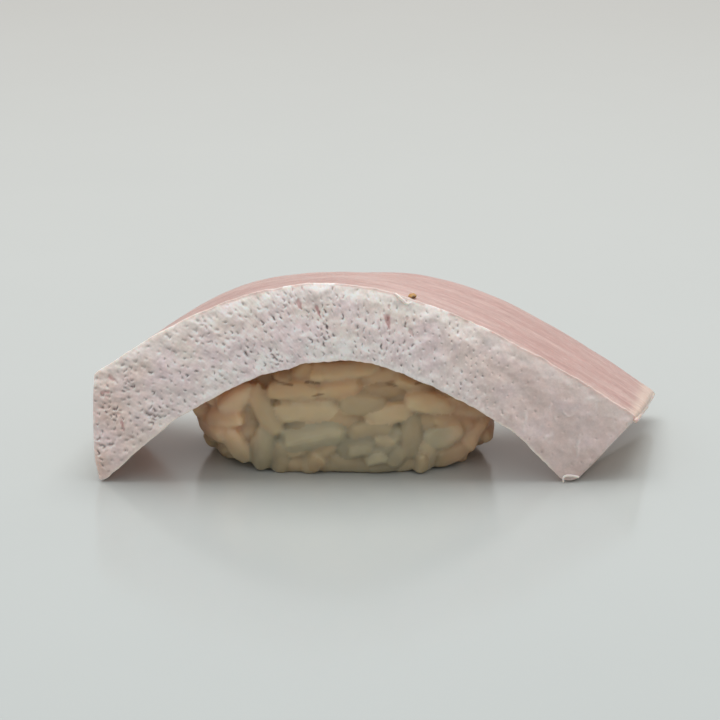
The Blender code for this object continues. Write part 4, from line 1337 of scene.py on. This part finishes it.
def flesh_material():
    """Moist raw fish: the painted tones, broken up by mottling, by fine streaks on the top face, and by
    painted wet glints on it.
    """
    paint = Paint("flesh")
    mottle = paint.ramp(paint.noise(0.9, 3.0), 0.3, 0.7, 0.96, 1.04)
    grain = paint.ramp(paint.noise(0.3, 2.0), 0.3, 0.7, 0.96, 1.04)
    colour = paint.mix(paint.tone(), mottle, 1.0, "MULTIPLY")
    streaks = paint.noise(1.0, 3.0, 0.6, (3.5, 0.26, 1.0), "run")
    flecks = paint.noise(1.0, 2.0, 0.5, (1.1, 0.28, 1.0), "run")
    on_top = paint.part_of("run", 2)
    fibre = paint.ramp(streaks, 0.3, 0.7, 0.81, 1.19)
    colour = paint.mix(colour, paint.mix(grain, fibre, on_top), 1.0, "MULTIPLY")
    # painted highlights: small wet glints on the top face
    glints = paint.product(on_top, paint.ramp(flecks, 0.62, 0.74, 0.0, 0.3))
    colour = paint.mix(colour, rgba(PAINTED_GLINT), glints)
    paint.drive("Base Color", colour)
    paint.drive("Roughness", paint.ramp(paint.noise(1.6, 3.0), 0.3, 0.7, 0.3, 0.48))
    paint.bump(paint.mix(paint.noise(0.4, 2.0), streaks, on_top), 0.5, 0.07)
    paint.put(Subsurface_Weight=0.4, Subsurface_Radius=(1.0, 0.6, 0.5), Subsurface_Scale=1.0 * MM,
              Specular_IOR_Level=0.5, IOR=1.42)
    return paint.made


def rice_material():
    """Cooked rice: translucent ivory with whiter hearts and a moist skin."""
    paint = Paint("rice")
    cloud = paint.noise(1.6, 2.0)
    colour = paint.mix(paint.tone(), rgba(RICE_WHITE), paint.ramp(cloud, 0.45, 0.75, 0.0, 0.25))
    paint.drive("Base Color", colour)
    paint.drive("Roughness", paint.ramp(paint.noise(1.1, 3.0), 0.3, 0.7, 0.36, 0.55))
    paint.bump(paint.noise(0.5, 2.0), 0.25, 0.05)
    paint.put(Subsurface_Weight=1.0, Subsurface_Radius=(1.0, 0.75, 0.5), Subsurface_Scale=3.4 * MM,
              Specular_IOR_Level=0.4, IOR=1.4)
    return paint.made


def fat_material(name, first, second):
    """Opaque fat and skin, between two tones."""
    paint = Paint(name)
    colour = paint.mix(rgba(first), rgba(second), paint.noise(0.5))
    paint.drive("Base Color", colour)
    paint.bump(paint.noise(0.15), 0.3, 0.03)
    paint.put(Roughness=0.3, Subsurface_Weight=0.3, Subsurface_Scale=0.3 * MM)
    return paint.made


def speck_material():
    """Golden brown skin, almost black in its middle."""
    paint = Paint("brown_skin")
    colour = paint.mix(paint.tone(), rgba(SPECK_GOLD), paint.ramp(paint.noise(0.2), 0.45, 0.7, 0.0, 0.6))
    paint.drive("Base Color", colour)
    paint.bump(paint.noise(0.12), 0.4, 0.03)
    paint.put(Roughness=0.55, Subsurface_Weight=0.2, Subsurface_Scale=0.2 * MM)
    return paint.made


def floor_material():
    paint = Paint("pale_floor")
    colour = paint.mix(rgba(FLOOR_PALE), rgba([c - 3 for c in FLOOR_PALE]), paint.noise(40.0))
    paint.drive("Base Color", colour)
    paint.put(Roughness=0.17, Specular_IOR_Level=0.6)
    return paint.made


# ---- the studio ----


def make_floor():
    data = bpy.data.meshes.new("floor")
    corners = [(x * FLOOR_HALF_SIZE, y * FLOOR_HALF_SIZE, 0) for x, y in ((-1, -1), (1, -1), (1, 1), (-1, 1))]
    data.from_pydata(corners, [], [(0, 1, 2, 3)])
    data.materials.append(floor_material())
    floor = add_object("floor", data)


def make_lamp():
    """A soft panel of light above the slice, turned to its foot."""
    light = bpy.data.lights.new("overhead", "AREA")
    light.shape = "RECTANGLE"
    light.size, light.size_y = LAMP_SIZE
    light.energy = LAMP_POWER
    lamp = add_object("overhead", light)
    lamp.location = LAMP_PLACE
    lamp.rotation_euler = (Vector() - Vector(LAMP_PLACE)).to_track_quat("-Z", "Y").to_euler()


def make_studio():
    make_floor()
    make_lamp()
    make_sky()
    bpy.context.scene.view_settings.view_transform = "Standard"


def make_sky():
    """Soft light from all round, dimmer and warmer towards the horizon."""
    world = bpy.data.worlds.new("studio")
    bpy.context.scene.world = world
    world.use_nodes = True
    tree = world.node_tree
    parts = tree.nodes.new("ShaderNodeSeparateXYZ")
    tree.links.new(tree.nodes.new("ShaderNodeTexCoord").outputs["Generated"], parts.inputs[0])
    rise = tree.nodes.new("ShaderNodeMapRange")
    rise.interpolation_type = "SMOOTHSTEP"
    rise.inputs["From Max"].default_value = SKY_RISE
    tree.links.new(parts.outputs["Z"], rise.inputs["Value"])
    mix = tree.nodes.new("ShaderNodeMix")
    mix.data_type = "RGBA"
    mix.inputs[6].default_value = rgba(HORIZON_LIGHT)
    mix.inputs[7].default_value = rgba(SKY_LIGHT)
    tree.links.new(rise.outputs["Result"], mix.inputs[0])
    sky = tree.nodes["Background"]
    tree.links.new(mix.outputs[2], sky.inputs["Color"])
    sky.inputs["Strength"].default_value = SKY_STRENGTH


def make_camera():
    """A long lens, a little above the floor."""
    data = bpy.data.cameras.new("camera")
    data.lens = CAMERA_LENS
    data.sensor_width = CAMERA_SENSOR
    data.clip_start, data.clip_end = CAMERA_CLIP
    camera = add_object("camera", data)
    camera.location = CAMERA_PLACE
    camera.rotation_euler = (math.radians(90 - CAMERA_TILT), 0, 0)
    bpy.context.scene.camera = camera


def main():
    make_camera()
    make_studio()
    flesh = make_slice(np.random.default_rng(FLESH_SEED))
    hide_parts("fish")
    rice = make_rice()
    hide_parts("rice")
    extras = make_extras()
    for piece in (flesh, rice, *extras):
        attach(piece, "root")


main()
